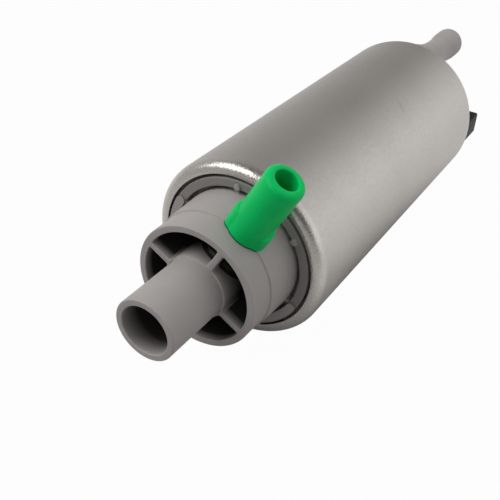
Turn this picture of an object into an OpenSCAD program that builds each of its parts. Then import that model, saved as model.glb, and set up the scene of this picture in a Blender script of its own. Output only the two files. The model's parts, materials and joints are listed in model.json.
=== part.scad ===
// Electric fuel pump for use inside a tank: a rolled steel case with a moulded cover at each end,
// a side channel pump with its impeller, and a brushed motor with a face commutator.
// Lengths are in millimetres. X is the pump's axis, from the inlet tube to the outlet nipple,
// and the origin is on it at the middle of the case. Clock angles run from +Z towards -Y.

/* [Case] */
// Outside diameter of the steel case
case_d = 43; // [42.8:0.1:46]
// Length over the rolled ends
case_len = 92.4; // [90:0.4:100]
// Thickness of the steel
case_wall = 1; // [0.8:0.1:1.2]
// Outside radius of the rolled ends
roll_r = 2.3; // [2:0.1:2.5]
// Flat width of each lip, from the roll to its edge
lip_flat = 0.55; // [0.4:0.05:0.7]

/* [Inlet cover] */
// Outside diameter of the inlet tube
tube_d = 14; // [13:0.5:14.5]
// Bore of the inlet tube
tube_bore_d = 11; // [9:0.5:11.5]
// Reach of the inlet tube past the case
tube_reach = 31.4; // [24:0.2:40]
// Outside diameter of the skirt round the inlet tube
skirt_d = 28.7; // [28:0.1:29]
// Thickness of the skirt
skirt_wall = 1.6; // [1.3:0.1:2]
// Reach of the skirt past the case
skirt_reach = 15.3; // [14.5:0.1:20]
// Height of the step at the skirt's root
root_step = 0.35; // [0.2:0.05:0.4]
// Length of the thicker root of the skirt
root_len = 9; // [6:0.5:12]
// Thickness of the ribs between the tube and the skirt
rib_t = 1.4; // [1:0.1:2]
// Number of those ribs
rib_count = 4; // [3:1:6]
// Thickness of the collar where the ribs meet the tube
hub_step = 0.35; // [0.2:0.05:0.6]
// Width of the raised ring inside the case's lip
ring_w = 2.1; // [1.8:0.1:2.2]
// Width of the gap between that ring and the lip
ring_gap = 0.7; // [0.5:0.1:0.8]
// Length of the flange that the case is rolled over
flange_len = 6; // [5.6:0.1:7]
// Diameter of the pips on the ring
pip_d = 1.4; // [1:0.1:1.6]

/* [Side nozzle] */
// Outside diameter of the nozzle
nozzle_d = 8.5; // [8:0.1:9]
// Bore of the nozzle
nozzle_bore_d = 5; // [4:0.1:5.4]
// Reach of the nozzle from the pump's axis
nozzle_reach = 31; // [26:0.5:36]
// Distance from the case's end to the nozzle's axis
nozzle_set = 7.2; // [6.6:0.1:8]
// Clock angle of the nozzle
nozzle_angle = 30; // [0:5:45]
// Extra radius of the nozzle's foot, up to the ears' tops
foot_swell = 0.2; // [0.16:0.02:0.3]
// Diameter over the two ears at the nozzle's foot
ear_d = 9.8; // [9.6:0.1:10.4]
// Width of the ears
ear_w = 5.4; // [4:0.2:6.4]
// Height of the upper ear over the skirt
upper_ear_h = 4.7; // [3:0.1:5.5]
// Height of the lower ear over the skirt
lower_ear_h = 2.9; // [2:0.1:4]

/* [Pump stage] */
// Thickness of the plate on the inlet side
inlet_plate_t = 3.6; // [3.2:0.1:4.5]
// Thickness of the plate on the motor side
outlet_plate_t = 5; // [4.6:0.1:6]
// Thickness of the ring round the impeller
pump_ring_t = 3.8; // [3.4:0.1:4.4]
// Thickness of the impeller
impeller_t = 3.6; // [3:0.1:4.5]
// Number of vane windows in the impeller
vane_count = 36; // [24:1:40]
// Thickness of the rim outside the vanes
impeller_rim = 0.9; // [0.7:0.1:1.2]

/* [Motor] */
// Diameter of the rotor shaft
shaft_d = 4; // [3.6:0.1:4.4]
// Outside diameter of both shaft bushes
bush_d = 6.8; // [6.4:0.1:7]
// Thickness of the flux ring
flux_ring_t = 1.2; // [1:0.1:1.5]
// Thickness of the magnets
magnet_t = 4.2; // [3.8:0.1:4.6]
// Angle that each magnet covers
magnet_angle = 126; // [110:2:136]
// Air gap between the magnets and the rotor
air_gap = 0.65; // [0.5:0.05:0.9]
// Number of rotor slots and commutator segments
slot_count = 8; // [6:2:8]
// Length of the coil heads at each end of the rotor
coil_head = 5.6; // [4.5:0.1:6.5]
// Outside diameter of the commutator
comm_d = 21; // [20.4:0.1:22]
// Thickness of the commutator segments
segment_t = 3; // [2.4:0.1:3.6]
// Thickness of the commutator's moulded base
comm_base_t = 3.4; // [3:0.1:4]

/* [Brush gear] */
// Length of the brush holder's wall
holder_len = 17; // [16:0.5:20]
// Thickness of the brush holder's plate
holder_plate_t = 3; // [2.6:0.1:3.6]
// Distance of each brush's centre from the pump's axis
brush_set = 7.1; // [7:0.1:7.4]
// Size of a brush across the pump
brush_w = 4.9; // [4.2:0.1:5]
// Size of a brush round the pump
brush_h = 6.4; // [5.8:0.1:6.8]
// Length of a brush
brush_len = 9; // [8:0.5:9.5]
// Travel of a brush in its guide
brush_travel = 3; // [2:0.5:3.5]
// Diameter of the ferrite cores of the chokes
choke_core_d = 4.4; // [4:0.1:4.6]
// Diameter of the choke wire
choke_wire_d = 0.7; // [0.5:0.1:0.8]

/* [Outlet cover] */
// Length of the outlet cover inside the case
outlet_len = 7.2; // [6.8:0.1:8.4]
// Thickness of the outlet cover's plate
outlet_plate_wall = 3.5; // [3:0.1:4]
// Distance from the case's outside to the nipple's axis
nipple_inset = 10.1; // [9.9:0.1:10.2]
// Reach of the nipple past the case
nipple_reach = 34.7; // [30:0.1:40]
// Diameter of the nipple's stem
nipple_d = 8.2; // [8:0.1:8.6]
// Diameter of the bead at its end
bead_d = 9.1; // [8.8:0.1:9.5]
// Bore of the nipple
nipple_bore_d = 5.2; // [4:0.1:5.4]
// Diameter of the boss at the nipple's foot
boss_d = 13.8; // [13.4:0.1:14]
// Length of that boss past the case
boss_len = 7.4; // [7.1:0.1:8]
// Length of the flare from the boss to the stem
flare_len = 16.6; // [12:0.2:18]
// Bore of the check valve's chamber
chamber_d = 9.4; // [9:0.1:9.8]
// Lift of the check valve
check_lift = 2.5; // [1.5:0.25:3]
// Diameter of the relief valve's ball
ball_d = 4.2; // [3.8:0.1:4.4]
// Lift of the relief valve's ball
ball_lift = 1.2; // [0.8:0.1:1.4]

/* [Connector] */
// Width of the connector's shroud
shroud_w = 15; // [14:0.5:15.5]
// Height of the shroud
shroud_h = 6.2; // [6.1:0.1:7]
// Length of the shroud
shroud_len = 8.4; // [7:0.2:12]
// Thickness of the shroud's walls
shroud_wall = 0.9; // [0.8:0.05:1]
// Distance from the case's outside to the shroud's outer face
shroud_inset = 0.8; // [0.5:0.1:1.3]
// Distance between the two terminals
terminal_pitch = 5.1; // [5.1:0.1:5.6]
// Width of the terminal blades
blade_w = 2.8; // [2:0.1:2.9]
// Thickness of the terminal metal
blade_t = 0.8; // [0.6:0.05:0.9]

/* [Clearances] */
// Side clearance of what slides into the case
case_fit = 0.1; // [0.05:0.05:0.2]
// Clearance of seated and moulded pieces
seat_fit = 0.05; // [0.03:0.01:0.08]
// Running clearance of the shaft in its bushes
run_fit = 0.03; // [0.02:0.01:0.06]
// Clearance on each side of the impeller
impeller_fit = 0.1; // [0.06:0.02:0.2]
// Clearance between the impeller and the ring round it
impeller_side_fit = 0.2; // [0.1:0.05:0.3]
// Clearance of the brushes in their guides
brush_fit = 0.15; // [0.1:0.05:0.25]

/* [Hidden] */
$fn = 96;
past = 1;

// Case and what fits inside it
case_r = case_d / 2;
end_a = -case_len / 2;
end_b = case_len / 2;
seat_a = end_a + case_wall;
seat_b = end_b - case_wall;
lip_r = case_r - roll_r - lip_flat;
body_r = case_r - case_wall - case_fit;
corner_r = roll_r - case_wall;

// Inlet cover
tube_r = tube_d / 2;
tube_bore_r = tube_bore_d / 2;
tube_x = end_a - tube_reach;
hub_r = tube_r + hub_step;
skirt_r = skirt_d / 2;
skirt_in_r = skirt_r - skirt_wall;
skirt_x = end_a - skirt_reach;
root_x = end_a - root_len;
root_taper = 0.3;
root_r = skirt_r + root_step;
root_end_r = root_r + root_taper;
ring_r = lip_r - ring_gap;
ring_in_r = ring_r - ring_w;
ring_x = end_a + 0.15;
ring_groove_x = end_a + 2.5;
lip_groove_x = seat_a + 1.3;
floor_x = end_a + 2.2;
floor_t = 2;
pocket_r = ring_in_r + 0.3;
pocket_x = floor_x + floor_t;
flange_x = seat_a + flange_len;
pip_rise = 0.45;
pip_step = 60;
pip_set = ring_in_r + 0.55;
bridge_w = 0.7;
pad_w = ring_w - 0.4;
pad_r0 = ring_in_r + (ring_w - pad_w) / 2;
pad_end_r = pad_w / 2 - 0.12;
edge_r = 0.35;

// Sealing rings, squeezed between their grooves and the case
seal_w = 1.9;
seal_groove_w = 2.4;
seal_groove_r = body_r - 1.5;
seal_t = body_r + case_fit - seal_groove_r - seat_fit;
inlet_seal_x = seat_a + 3.7;

// Side nozzle and the passage that feeds it
nozzle_r = nozzle_d / 2;
nozzle_bore_r = nozzle_bore_d / 2;
nozzle_x = end_a - nozzle_set;
nozzle_lip = 1.2;
spigot_r = nozzle_bore_r + 0.8;
spigot_rho = skirt_in_r - 0.4;
nozzle_boss_r = spigot_r + 1.2;
ear_r = ear_d / 2;
foot_r = nozzle_r + foot_swell;
foot_top = root_r + upper_ear_h + foot_swell / 2;
ear_round = 0.5;
feed_r = 1.8;
feed_rho = hub_r + feed_r + 1.5;
feed_boss_r = feed_r + 1.2;

// Pump stage
impeller_r = body_r - pump_ring_t - impeller_side_fit;
inlet_plate_x = flange_x;
stage_x = inlet_plate_x + inlet_plate_t;
stage_len = impeller_t + 2 * impeller_fit;
outlet_plate_x = stage_x + stage_len;
motor_x = outlet_plate_x + outlet_plate_t;
vane_len = 3.2;
vane_out_r = impeller_r - impeller_rim;
vane_rho = vane_out_r - vane_len / 2;
vane_t = 0.85;
vane_gap_w = 2 * PI * (vane_out_r - vane_len) / vane_count - vane_t + 0.25;
channel_r = 1.8;
port_r = 1.9;
port_angle = 30;
land_angle = nozzle_angle + 210;
land_w = 6;
vent_r = 1;
vent_rho = vane_rho - 1.2;
pad_r = 3;
pad_t = 1.2;

// Rotor, laid out from the commutator's face back to the pump stage
shaft_r = shaft_d / 2;
bush_r = bush_d / 2;
flat_cut = 0.5;
holder_x = seat_b - outlet_len - holder_len;
comm_face_x = holder_x - 2;
segment_x = comm_face_x - segment_t;
comm_base_x = segment_x - comm_base_t;
bush_rise = 1;
bush_clear = 0.4;
head_gap = 2.6;
insulator_t = 0.8;
coil_clear = 0.4;
shaft_x = stage_x + 0.1;
spacer_x = motor_x + bush_rise + bush_clear;
spacer_r = shaft_r + 1.3;
stack_a = motor_x + head_gap + coil_head;
stack_b = comm_base_x - coil_clear - coil_head;
flux_in_r = body_r - flux_ring_t;
magnet_r = flux_in_r - seat_fit;
magnet_in_r = magnet_r - magnet_t;
magnet_end = 4;
rotor_r = magnet_in_r - air_gap;
slot_r = rotor_r * 0.18;
slot_rho = rotor_r - slot_r - 2.1;
slot_mouth = 1.8;
winding_fit = 0.15;
coil_in_r = slot_rho - slot_r - 1.2;
coil_out_r = rotor_r - 1.6;
coil_round = 1.6;
lobe_rise = 0.3;
lobe_r = slot_r + 0.4;
comm_r = comm_d / 2;
comm_in_r = shaft_r + 1.6;
segment_gap = 0.7;

// Brush gear
holder_end = holder_x + holder_len;
holder_wall = 1.4;
guide_wall = 1;
guide_w = brush_w + 2 * brush_fit + 2 * guide_wall;
guide_h = brush_h + 2 * brush_fit + 2 * guide_wall;
brush_rest = 0.05;
brush_x = comm_face_x + brush_rest;
brush_end = brush_x + brush_len;
brush_spring_len = 2 * brush_travel + 2;
guide_end = brush_end + brush_spring_len;
cap_t = 0.8;
lead_slot_w = 1.6;
lead_r = 0.5;
lead_set = 1;
bush_tower = 8;
bush_tower_r = bush_r + 1;
upper_bush_x = holder_x + 1;
upper_bush_len = bush_tower - 1.5;
shaft_end = holder_x + bush_tower - 0.8;
brush_wire_r = 0.25;
brush_coil_r = min(brush_w, brush_h) / 2 - brush_wire_r - 0.3;
brush_turns = 5;

// Chokes, seated in cups on the brush holder
choke_core_r = choke_core_d / 2;
choke_wire_r = choke_wire_d / 2;
choke_coil_r = choke_core_r + choke_wire_r + 0.2;
choke_out_r = choke_coil_r + choke_wire_r;
choke_turns = 7;
cup_wall = 0.9;
cup_h = 2.5;
choke_x = holder_x + holder_plate_t;
choke_end = guide_end + cap_t;
choke_coil_x = choke_x + cup_h + 0.3;
choke_coil_end = choke_end - 0.6;

// Connector and terminals
shroud_x = end_b + 0.3;
shroud_end = shroud_x + shroud_len;
shroud_floor = 1.3;
shroud_y = -case_r + shroud_inset + shroud_w / 2;
shroud_z = -1.75;
shroud_round = 0.6;
stem_w = terminal_pitch + blade_t + 2;
stem_h = min(shroud_h - 1.2, blade_w + 2.2);
outer_y = shroud_y - terminal_pitch / 2;
inner_y = shroud_y + terminal_pitch / 2;
blade_end = shroud_end - 1.6;
leg_w = 1.6;
inner_leg_x = choke_end + 0.4;
outer_leg_x = inner_leg_x + leg_w + 0.8;
stem_x = outer_leg_x + leg_w + seat_fit;
cross_z = shroud_z - blade_w / 2 - 3.2;
tab_len = 4;
tab_z = 2.4;
choke_y = min(-inner_y - blade_t / 2 - choke_out_r - 0.1, brush_set);
choke_z = min(cross_z - blade_t - choke_out_r, -guide_h / 2 - choke_out_r - 2.4);
tab_y = choke_y + choke_out_r + 0.1 + blade_t / 2;

// Outlet cover, nipple and check valve
outlet_x = seat_b - outlet_len;
outlet_inner_x = seat_b - outlet_plate_wall;
outlet_rim_r = body_r - 2.1;
disc_r = lip_r - 0.3;
disc_x = end_b - 0.1;
outlet_seal_x = seat_b - 3.7;
nipple_set = case_r - nipple_inset;
nipple_end = end_b + nipple_reach;
nipple_r = nipple_d / 2;
nipple_bore_r = nipple_bore_d / 2;
bead_r = bead_d / 2;
boss_r = boss_d / 2;
chamber_r = chamber_d / 2;
socket_wall = 1.6;
socket_r = chamber_r + socket_wall;
socket_x = guide_end + cap_t - 2.6;
flare_start = end_b + boss_len;
flare_end = flare_start + flare_len;
bead_len = 4.9;
bead_ramp = 4;
bead_round = 0.9;
seat_plug_len = 3.5;
seat_hole_r = 2.3;
plug_r = chamber_r - seat_fit;
seat_face = socket_x + seat_plug_len;
seal_disc_t = 1;
seal_disc_r = chamber_r - 1.2;
poppet_x = seat_face + 0.08;
head_x = poppet_x + seal_disc_t;
head_t = 1.2;
check_spring_len = 2 * check_lift + 5.6;
head_r = seal_disc_r - 0.2;
nose_r = seat_hole_r - 0.5;
stem_r = 0.9;
guide_t = 2.6;
guide_x = head_x + head_t + check_spring_len;
chamber_end = guide_x + guide_t;
guide_fit = 0.06;
poppet_end = guide_x + guide_t - 0.4;
guide_hub_r = stem_r + 1;
guide_rim = 0.9;
arm_t = 0.9;
check_wire_r = 0.25;
check_coil_r = stem_r + check_wire_r + 0.45;
check_turns = 5;

// Relief valve, beside the nipple
relief_y = nipple_set;
relief_z = 1.4;
ball_r = ball_d / 2;
relief_r = ball_r + 0.35;
relief_boss_r = relief_r + 1.5;
relief_in_x = guide_end + cap_t + 0.4;
relief_seat_x = outlet_inner_x - 1;
relief_hole_r = 1.2;
ball_rest = 0.08;
ball_x = relief_seat_x + sqrt(ball_r * ball_r - relief_hole_r * relief_hole_r) + ball_rest;
relief_cap_t = 1.8;
relief_cap_x = ball_x + ball_r + 2 * ball_lift + 1.6;
relief_end = relief_cap_x + relief_cap_t;
relief_vent_r = 0.8;
relief_wire_r = 0.2;
relief_coil_r = ball_r - 0.5;
relief_turns = 4;

// Colours as photographed, and plain ones inside
steel = "#a8a49c";
grey = "#9a9592";
green = "#0aa453";
black = "#2a2b2a";

// Stands a shape's own Z along the pump's axis, with its foot at x
module along(x = 0) translate([x, 0, 0]) rotate([0, 90, 0]) children();

// Turns a shape about the pump's axis to a clock angle
module clock(angle) rotate([angle, 0, 0]) children();

// Rod on the pump's axis
module rod(x0, x1, r) along(x0) cylinder(h = x1 - x0, r = r);

// Ring on the pump's axis
module tube(x0, x1, r, hole) difference() {
  rod(x0, x1, r);
  rod(x0 - past, x1 + past, hole);
}

// Turns a profile of [radius, x] round the pump's axis
module turned() rotate([0, 90, 0]) rotate_extrude() children();

// Part of such a profile, from radius r0 to r1 and from x0 to x1
module band(r0, r1, x0, x1) translate([r0, x0]) square([r1 - r0, x1 - x0]);

// Band whose end at x0 has round corners
module round_band(r0, r1, x0, x1, c) {
  band(r0, r1, x0 + c, x1);
  band(r0 + c, r1 - c, x0, x1);
  for (r = [r0 + c, r1 - c]) translate([r, x0 + c]) circle(c);
}

// Extrudes a shape drawn in Y and Z along the pump's axis
module prism(x0, x1) translate([x0, 0, 0]) rotate([90, 0, 90]) linear_extrude(x1 - x0) children();

// Box given by its lowest and highest corners
module block(low, high) translate(low) cube(high - low);

// Points of a ring of round wire that winds about X
function wire_ring(x, angle, coil_r, wire_r, slope, sides) =
  let (
    out = [0, cos(angle), sin(angle)],
    ahead = [slope, -sin(angle), cos(angle)] / sqrt(1 + slope * slope),
    side = cross(ahead, out)
  )
  [for (k = [0:sides - 1])
    [x, 0, 0] + coil_r * out + wire_r * (cos(360 * k / sides) * out + sin(360 * k / sides) * side)];

// Solid whose skin joins steps + 1 rings of points
module tube_faces(points, steps, sides) {
  walls = [for (i = [0:steps - 1]) for (k = [0:sides - 1])
    let (a = i * sides + k, b = i * sides + (k + 1) % sides)
    each [[a, b, b + sides], [a, b + sides, a + sides]]];
  near = [[for (k = [sides - 1:-1:0]) k]];
  far = [[for (k = [0:sides - 1]) steps * sides + k]];
  polyhedron(points, concat(walls, near, far));
}

// Coil of round wire about X, between two faces
module coil(x0, x1, coil_r, wire_r, turns, sides = 6, per_turn = 12) {
  steps = turns * per_turn;
  run = x1 - x0 - 2 * wire_r;
  slope = run / (2 * PI * coil_r * turns);
  points = [for (i = [0:steps]) each
    wire_ring(x0 + wire_r + run * i / steps, 360 * i / per_turn, coil_r, wire_r, slope, sides)];
  tube_faces(points, steps, sides);
}

// Rolled end of the case, as a profile that starts at x and runs inwards
module rolled_end() {
  intersection() {
    difference() {
      translate([case_r - roll_r, roll_r]) circle(roll_r);
      translate([case_r - roll_r, roll_r]) circle(roll_r - case_wall);
    }
    band(case_r - roll_r, case_r, 0, roll_r);
  }
  band(lip_r, case_r - roll_r, 0, case_wall);
}

// Steel tube whose two ends are rolled over the covers
module case() color(steel) turned() {
  band(case_r - case_wall, case_r, end_a + roll_r, end_b - roll_r);
  translate([0, end_a]) rolled_end();
  translate([0, end_b]) mirror([0, 1]) rolled_end();
}

// Flange that fills the case at x0, with the corner that the rolled end leaves
module flange(x0, x1) {
  band(0, body_r - corner_r, x0, x1);
  band(0, body_r, x0 + corner_r, x1);
  translate([body_r - corner_r, x0 + corner_r]) circle(corner_r);
}

// Outline of the inlet cover from the axis outwards
module inlet_profile() difference() {
  union() {
    flange(seat_a, flange_x);
    round_band(ring_in_r, ring_r, ring_x, seat_a + past, edge_r / 2);
    round_band(skirt_in_r, skirt_r, skirt_x, floor_x + past, edge_r);
    polygon([[skirt_in_r, root_x], [root_r, root_x], [root_end_r, end_a],
      [root_end_r, floor_x + past], [skirt_in_r, floor_x + past]]);
    band(tube_bore_r, hub_r, skirt_x, floor_x + past);
    round_band(tube_bore_r, tube_r, tube_x, skirt_x + past, edge_r);
  }
  band(root_end_r, ring_in_r, end_a - past, ring_groove_x);
  band(ring_r, lip_r + edge_r, end_a - past, lip_groove_x);
  band(hub_r, skirt_in_r, skirt_x - past, floor_x);
  band(0, pocket_r, pocket_x, flange_x + past);
  band(0, tube_bore_r, tube_x - past, pocket_x + past);
  band(seal_groove_r, body_r + past, inlet_seal_x - seal_groove_w / 2,
    inlet_seal_x + seal_groove_w / 2);
}

// Bridges from the ring to the skirt's root, pips on the nozzle's side and a raised pad on the other
module ring_marks() {
  for (k = [0:5]) clock(nozzle_angle + pip_step / 2 + k * pip_step)
    block([ring_x, -bridge_w / 2, root_end_r - edge_r], [ring_groove_x + past, bridge_w / 2,
      ring_in_r + edge_r]);
  for (k = [-1, 1]) clock(nozzle_angle + k * pip_step / 2) translate([0, 0, pip_set])
    rod(ring_x - pip_rise, seat_a, pip_d / 2);
  intersection() {
    tube(ring_x - pip_rise, seat_a, pad_r0 + pad_w, pad_r0);
    clock(nozzle_angle) block([ring_x - past, -case_r, -case_r], [seat_a, case_r, 0]);
  }
  for (k = [-1, 1]) clock(nozzle_angle + k * 90) translate([0, 0, pad_r0 + pad_w / 2])
    rod(ring_x - pip_rise, seat_a, pad_end_r);
}

// Moulded cover with the inlet tube, its ribs and skirt, and the socket of the side nozzle
module inlet_cover() color(grey) difference() {
  union() {
    turned() inlet_profile();
    ring_marks();
    for (k = [0:rib_count - 1]) clock(nozzle_angle + k * 360 / rib_count)
      block([skirt_x, -rib_t / 2, hub_r - hub_step], [floor_x + past, rib_t / 2,
        skirt_in_r + edge_r]);
    clock(nozzle_angle) {
      translate([nozzle_x, 0, hub_r - hub_step])
        cylinder(h = skirt_in_r + edge_r - hub_r + hub_step, r = nozzle_boss_r);
      translate([0, 0, feed_rho]) rod(nozzle_x, flange_x, feed_boss_r);
    }
  }
  clock(nozzle_angle) {
    translate([nozzle_x, 0, spigot_rho]) cylinder(h = root_end_r, r = spigot_r + seat_fit);
    translate([nozzle_x, 0, feed_rho]) cylinder(h = root_end_r, r = nozzle_bore_r);
    translate([0, 0, feed_rho]) rod(nozzle_x, flange_x + past, feed_r);
  }
  rod(tube_x - past, pocket_x, tube_bore_r);
}

// Ear at the nozzle's foot, on one side of the pump, with a rounded top
module ear(side, height) intersection() {
  top = root_r + height;
  translate([nozzle_x, 0, 0]) rotate_extrude() {
    band(0, ear_r, skirt_in_r, top - ear_round);
    band(0, ear_r - ear_round, skirt_in_r, top);
    translate([ear_r - ear_round, top - ear_round]) circle(ear_round);
  }
  block([nozzle_x - ear_w / 2, min(side * ear_d, 0), 0],
    [nozzle_x + ear_w / 2, max(side * ear_d, 0), nozzle_reach]);
}

// Green nozzle, seated on the skirt and pushed into its socket
module side_nozzle() color(green) clock(nozzle_angle) difference() {
  union() {
    difference() {
      union() {
        translate([nozzle_x, 0, 0]) rotate_extrude() {
          band(0, nozzle_r, skirt_in_r, nozzle_reach - nozzle_lip);
          band(0, nozzle_r - nozzle_lip, skirt_in_r, nozzle_reach);
          translate([nozzle_r - nozzle_lip, nozzle_reach - nozzle_lip]) circle(nozzle_lip);
          polygon([[0, skirt_in_r], [foot_r, skirt_in_r], [foot_r, foot_top - foot_swell],
            [nozzle_r, foot_top], [0, foot_top]]);
        }
        ear(1, upper_ear_h);
        ear(-1, lower_ear_h);
      }
      turned() {
        band(0, skirt_r + seat_fit, skirt_x - past, root_x + past);
        polygon([[0, root_x - seat_fit], [root_r + seat_fit, root_x - seat_fit],
          [root_end_r + seat_fit, end_a], [root_end_r + seat_fit, end_a + past],
          [0, end_a + past]]);
      }
    }
    translate([nozzle_x, 0, spigot_rho + seat_fit])
      cylinder(h = root_r + lower_ear_h / 2 - spigot_rho, r = spigot_r);
  }
  translate([nozzle_x, 0, 0]) cylinder(h = nozzle_reach + past, r = nozzle_bore_r);
}

// Sealing ring as it lies in its groove, with flattened sides
module seal_ring(x) color("#26262a") turned()
  translate([seal_groove_r + seat_fit / 2 + seal_t / 2, x]) {
    for (k = [-1, 1]) translate([0, k * (seal_w - seal_t) / 2]) circle(seal_t / 2);
    square([seal_t, seal_w - seal_t], center = true);
  }

module inlet_seal() seal_ring(inlet_seal_x);

// Side channel in one plate's face at x, with the land that parts inlet from outlet
module side_channel(x) difference() {
  turned() translate([vane_rho, x]) circle(channel_r);
  clock(land_angle) block([x - 2 * channel_r, -land_w / 2, 0],
    [x + 2 * channel_r, land_w / 2, impeller_r + channel_r]);
}

// Plate between the inlet chamber and the impeller
module inlet_plate() color("#b9bbbd") difference() {
  difference() {
    rod(inlet_plate_x, stage_x, body_r);
    side_channel(stage_x);
  }
  clock(land_angle - port_angle) translate([0, 0, vane_rho])
    rod(inlet_plate_x - past, stage_x, port_r);
  clock(nozzle_angle) translate([0, 0, vent_rho]) rod(inlet_plate_x - past, stage_x, vent_r);
  rod(stage_x - pad_t, stage_x + past, pad_r + seat_fit);
}

// Hard disc that the shaft's end bears on
module thrust_pad() color("#d8d8dc") rod(stage_x - pad_t, stage_x, pad_r);

module pump_ring() color("#c4c5c6")
  tube(stage_x, outlet_plate_x, body_r, body_r - pump_ring_t);

// Impeller with a window between each two vanes and a flat in its bore
module impeller() color("#3a3c40") difference() {
  x0 = stage_x + impeller_fit;
  rod(x0, x0 + impeller_t, impeller_r);
  for (k = [0:vane_count - 1]) clock(k * 360 / vane_count)
    block([x0 - past, -vane_gap_w / 2, vane_out_r - vane_len], [x0 + impeller_t + past,
      vane_gap_w / 2, vane_out_r]);
  for (k = [0:3]) clock(45 + k * 90) translate([0, 0, vane_rho / 2])
    rod(x0 - past, x0 + impeller_t + past, 1);
  shaft_section(x0 - past, x0 + impeller_t + past, run_fit);
}

// Shaft's end with its flat, grown by a clearance
module shaft_section(x0, x1, fit) intersection() {
  rod(x0, x1, shaft_r + fit);
  block([x0, -shaft_d, -shaft_d], [x1, shaft_d, shaft_r - flat_cut + fit]);
}

// Plate between the impeller and the motor, with the lower bush's seat
module outlet_plate() color("#b9bbbd") difference() {
  rod(outlet_plate_x, motor_x, body_r);
  side_channel(outlet_plate_x);
  clock(land_angle + port_angle) translate([0, 0, vane_rho])
    rod(outlet_plate_x, motor_x + past, port_r);
  rod(outlet_plate_x - past, motor_x + past, bush_r + seat_fit);
}

module lower_bush() color("#b08d57")
  tube(outlet_plate_x + 0.3, motor_x + bush_rise, bush_r, shaft_r + run_fit);

module flux_ring() color("#8e9094") tube(motor_x, holder_x, body_r, flux_in_r);

// Wedge about a clock angle that is wider than the case
module wedge(x0, x1, angle, spread) clock(angle) prism(x0, x1)
  polygon([[0, 0], [-2 * case_r * tan(spread / 2), 2 * case_r],
    [2 * case_r * tan(spread / 2), 2 * case_r]]);

// Magnet shell: what two wedges leave of a ring, on one side of the pump
module magnet(side) color("#4a4c50") difference() {
  tube(motor_x + magnet_end, holder_x - magnet_end, magnet_r, magnet_in_r);
  for (angle = [0, 180]) wedge(motor_x, holder_x, angle, 180 - magnet_angle);
  rotate([side * 90, 0, 0]) block([motor_x, -case_r, -case_r], [holder_x, case_r, 0]);
}

module magnet_left() magnet(1);
module magnet_right() magnet(-1);

// Leaf springs that press the magnets apart, one at the top and one at the bottom
module magnet_springs() color("#c9cacc") {
  leaf_t = 0.5;
  spread = 180 - magnet_angle - 3;
  for (angle = [0, 180]) difference() {
    intersection() {
      tube(motor_x + 2 * magnet_end, holder_x - 2 * magnet_end, magnet_r, magnet_in_r + leaf_t);
      wedge(motor_x, holder_x, angle, spread);
    }
    intersection() {
      rod(motor_x, holder_x, magnet_r - leaf_t);
      wedge(motor_x - past, holder_x + past, angle, spread - 4);
    }
  }
}

// Steel shaft with the flat that drives the impeller
module shaft() color("#cfd1d3") {
  shaft_section(shaft_x, stage_x + stage_len, 0);
  rod(stage_x + stage_len, shaft_end, shaft_r);
}

module shaft_spacer() color("#b08d57") tube(spacer_x, stack_a - insulator_t, spacer_r, shaft_r + run_fit);

// Outline of the laminations, with a round slot and its mouth between each two teeth
module tooth_outline(r, grow = 0) difference() {
  circle(r);
  circle(shaft_r + run_fit);
  for (k = [0:slot_count - 1]) rotate(k * 360 / slot_count) {
    translate([0, slot_rho]) circle(slot_r - grow);
    translate([-slot_mouth / 2, slot_rho]) square([slot_mouth, rotor_r]);
  }
}

module lamination_stack() color("#777a7e") prism(stack_a, stack_b) tooth_outline(rotor_r);

// Plastic end pieces that keep the wire off the laminations
module slot_insulators() color("#e8e4d4") {
  prism(stack_a - insulator_t, stack_a) tooth_outline(rotor_r - 0.3);
  prism(stack_b, stack_b + insulator_t) tooth_outline(rotor_r - 0.3);
}

// Coil head: a ring with one lobe over each slot
module coil_end(x0, x1) {
  turned() {
    band(coil_in_r, coil_out_r - coil_round, x0, x1);
    band(coil_in_r, coil_out_r, x0 + coil_round, x1 - coil_round);
    for (x = [x0 + coil_round, x1 - coil_round])
      translate([coil_out_r - coil_round, x]) circle(coil_round);
  }
  for (k = [0:slot_count - 1]) clock(k * 360 / slot_count) translate([0, 0, slot_rho])
    rod(x0 - lobe_rise, x1 - past, lobe_r);
}

// Copper windings: the wire in the slots and its heads at both ends
module windings() color("#b5632c") {
  for (k = [0:slot_count - 1]) clock(k * 360 / slot_count) translate([0, 0, slot_rho])
    rod(stack_a - insulator_t - past, stack_b + insulator_t + past, slot_r - winding_fit);
  coil_end(stack_a - coil_head, stack_a - insulator_t - seat_fit);
  translate([stack_b + coil_head, 0, 0]) mirror([1, 0, 0])
    coil_end(0, coil_head - insulator_t - seat_fit);
}

// Moulded base of the commutator
module commutator_base() color("#5a2f1e") {
  tube(comm_base_x, segment_x, comm_r, shaft_r + run_fit);
  tube(stack_b + insulator_t, comm_base_x, spacer_r, shaft_r + run_fit);
}

// Carbon segments, parted by slots
module commutator_segments() color("#33353a") difference() {
  tube(segment_x, comm_face_x, comm_r - 0.2, comm_in_r);
  for (k = [0:slot_count / 2 - 1]) clock((k + 0.5) * 360 / slot_count)
    block([segment_x - past, -segment_gap / 2, -comm_d], [comm_face_x + past, segment_gap / 2,
      comm_d]);
}

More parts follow.
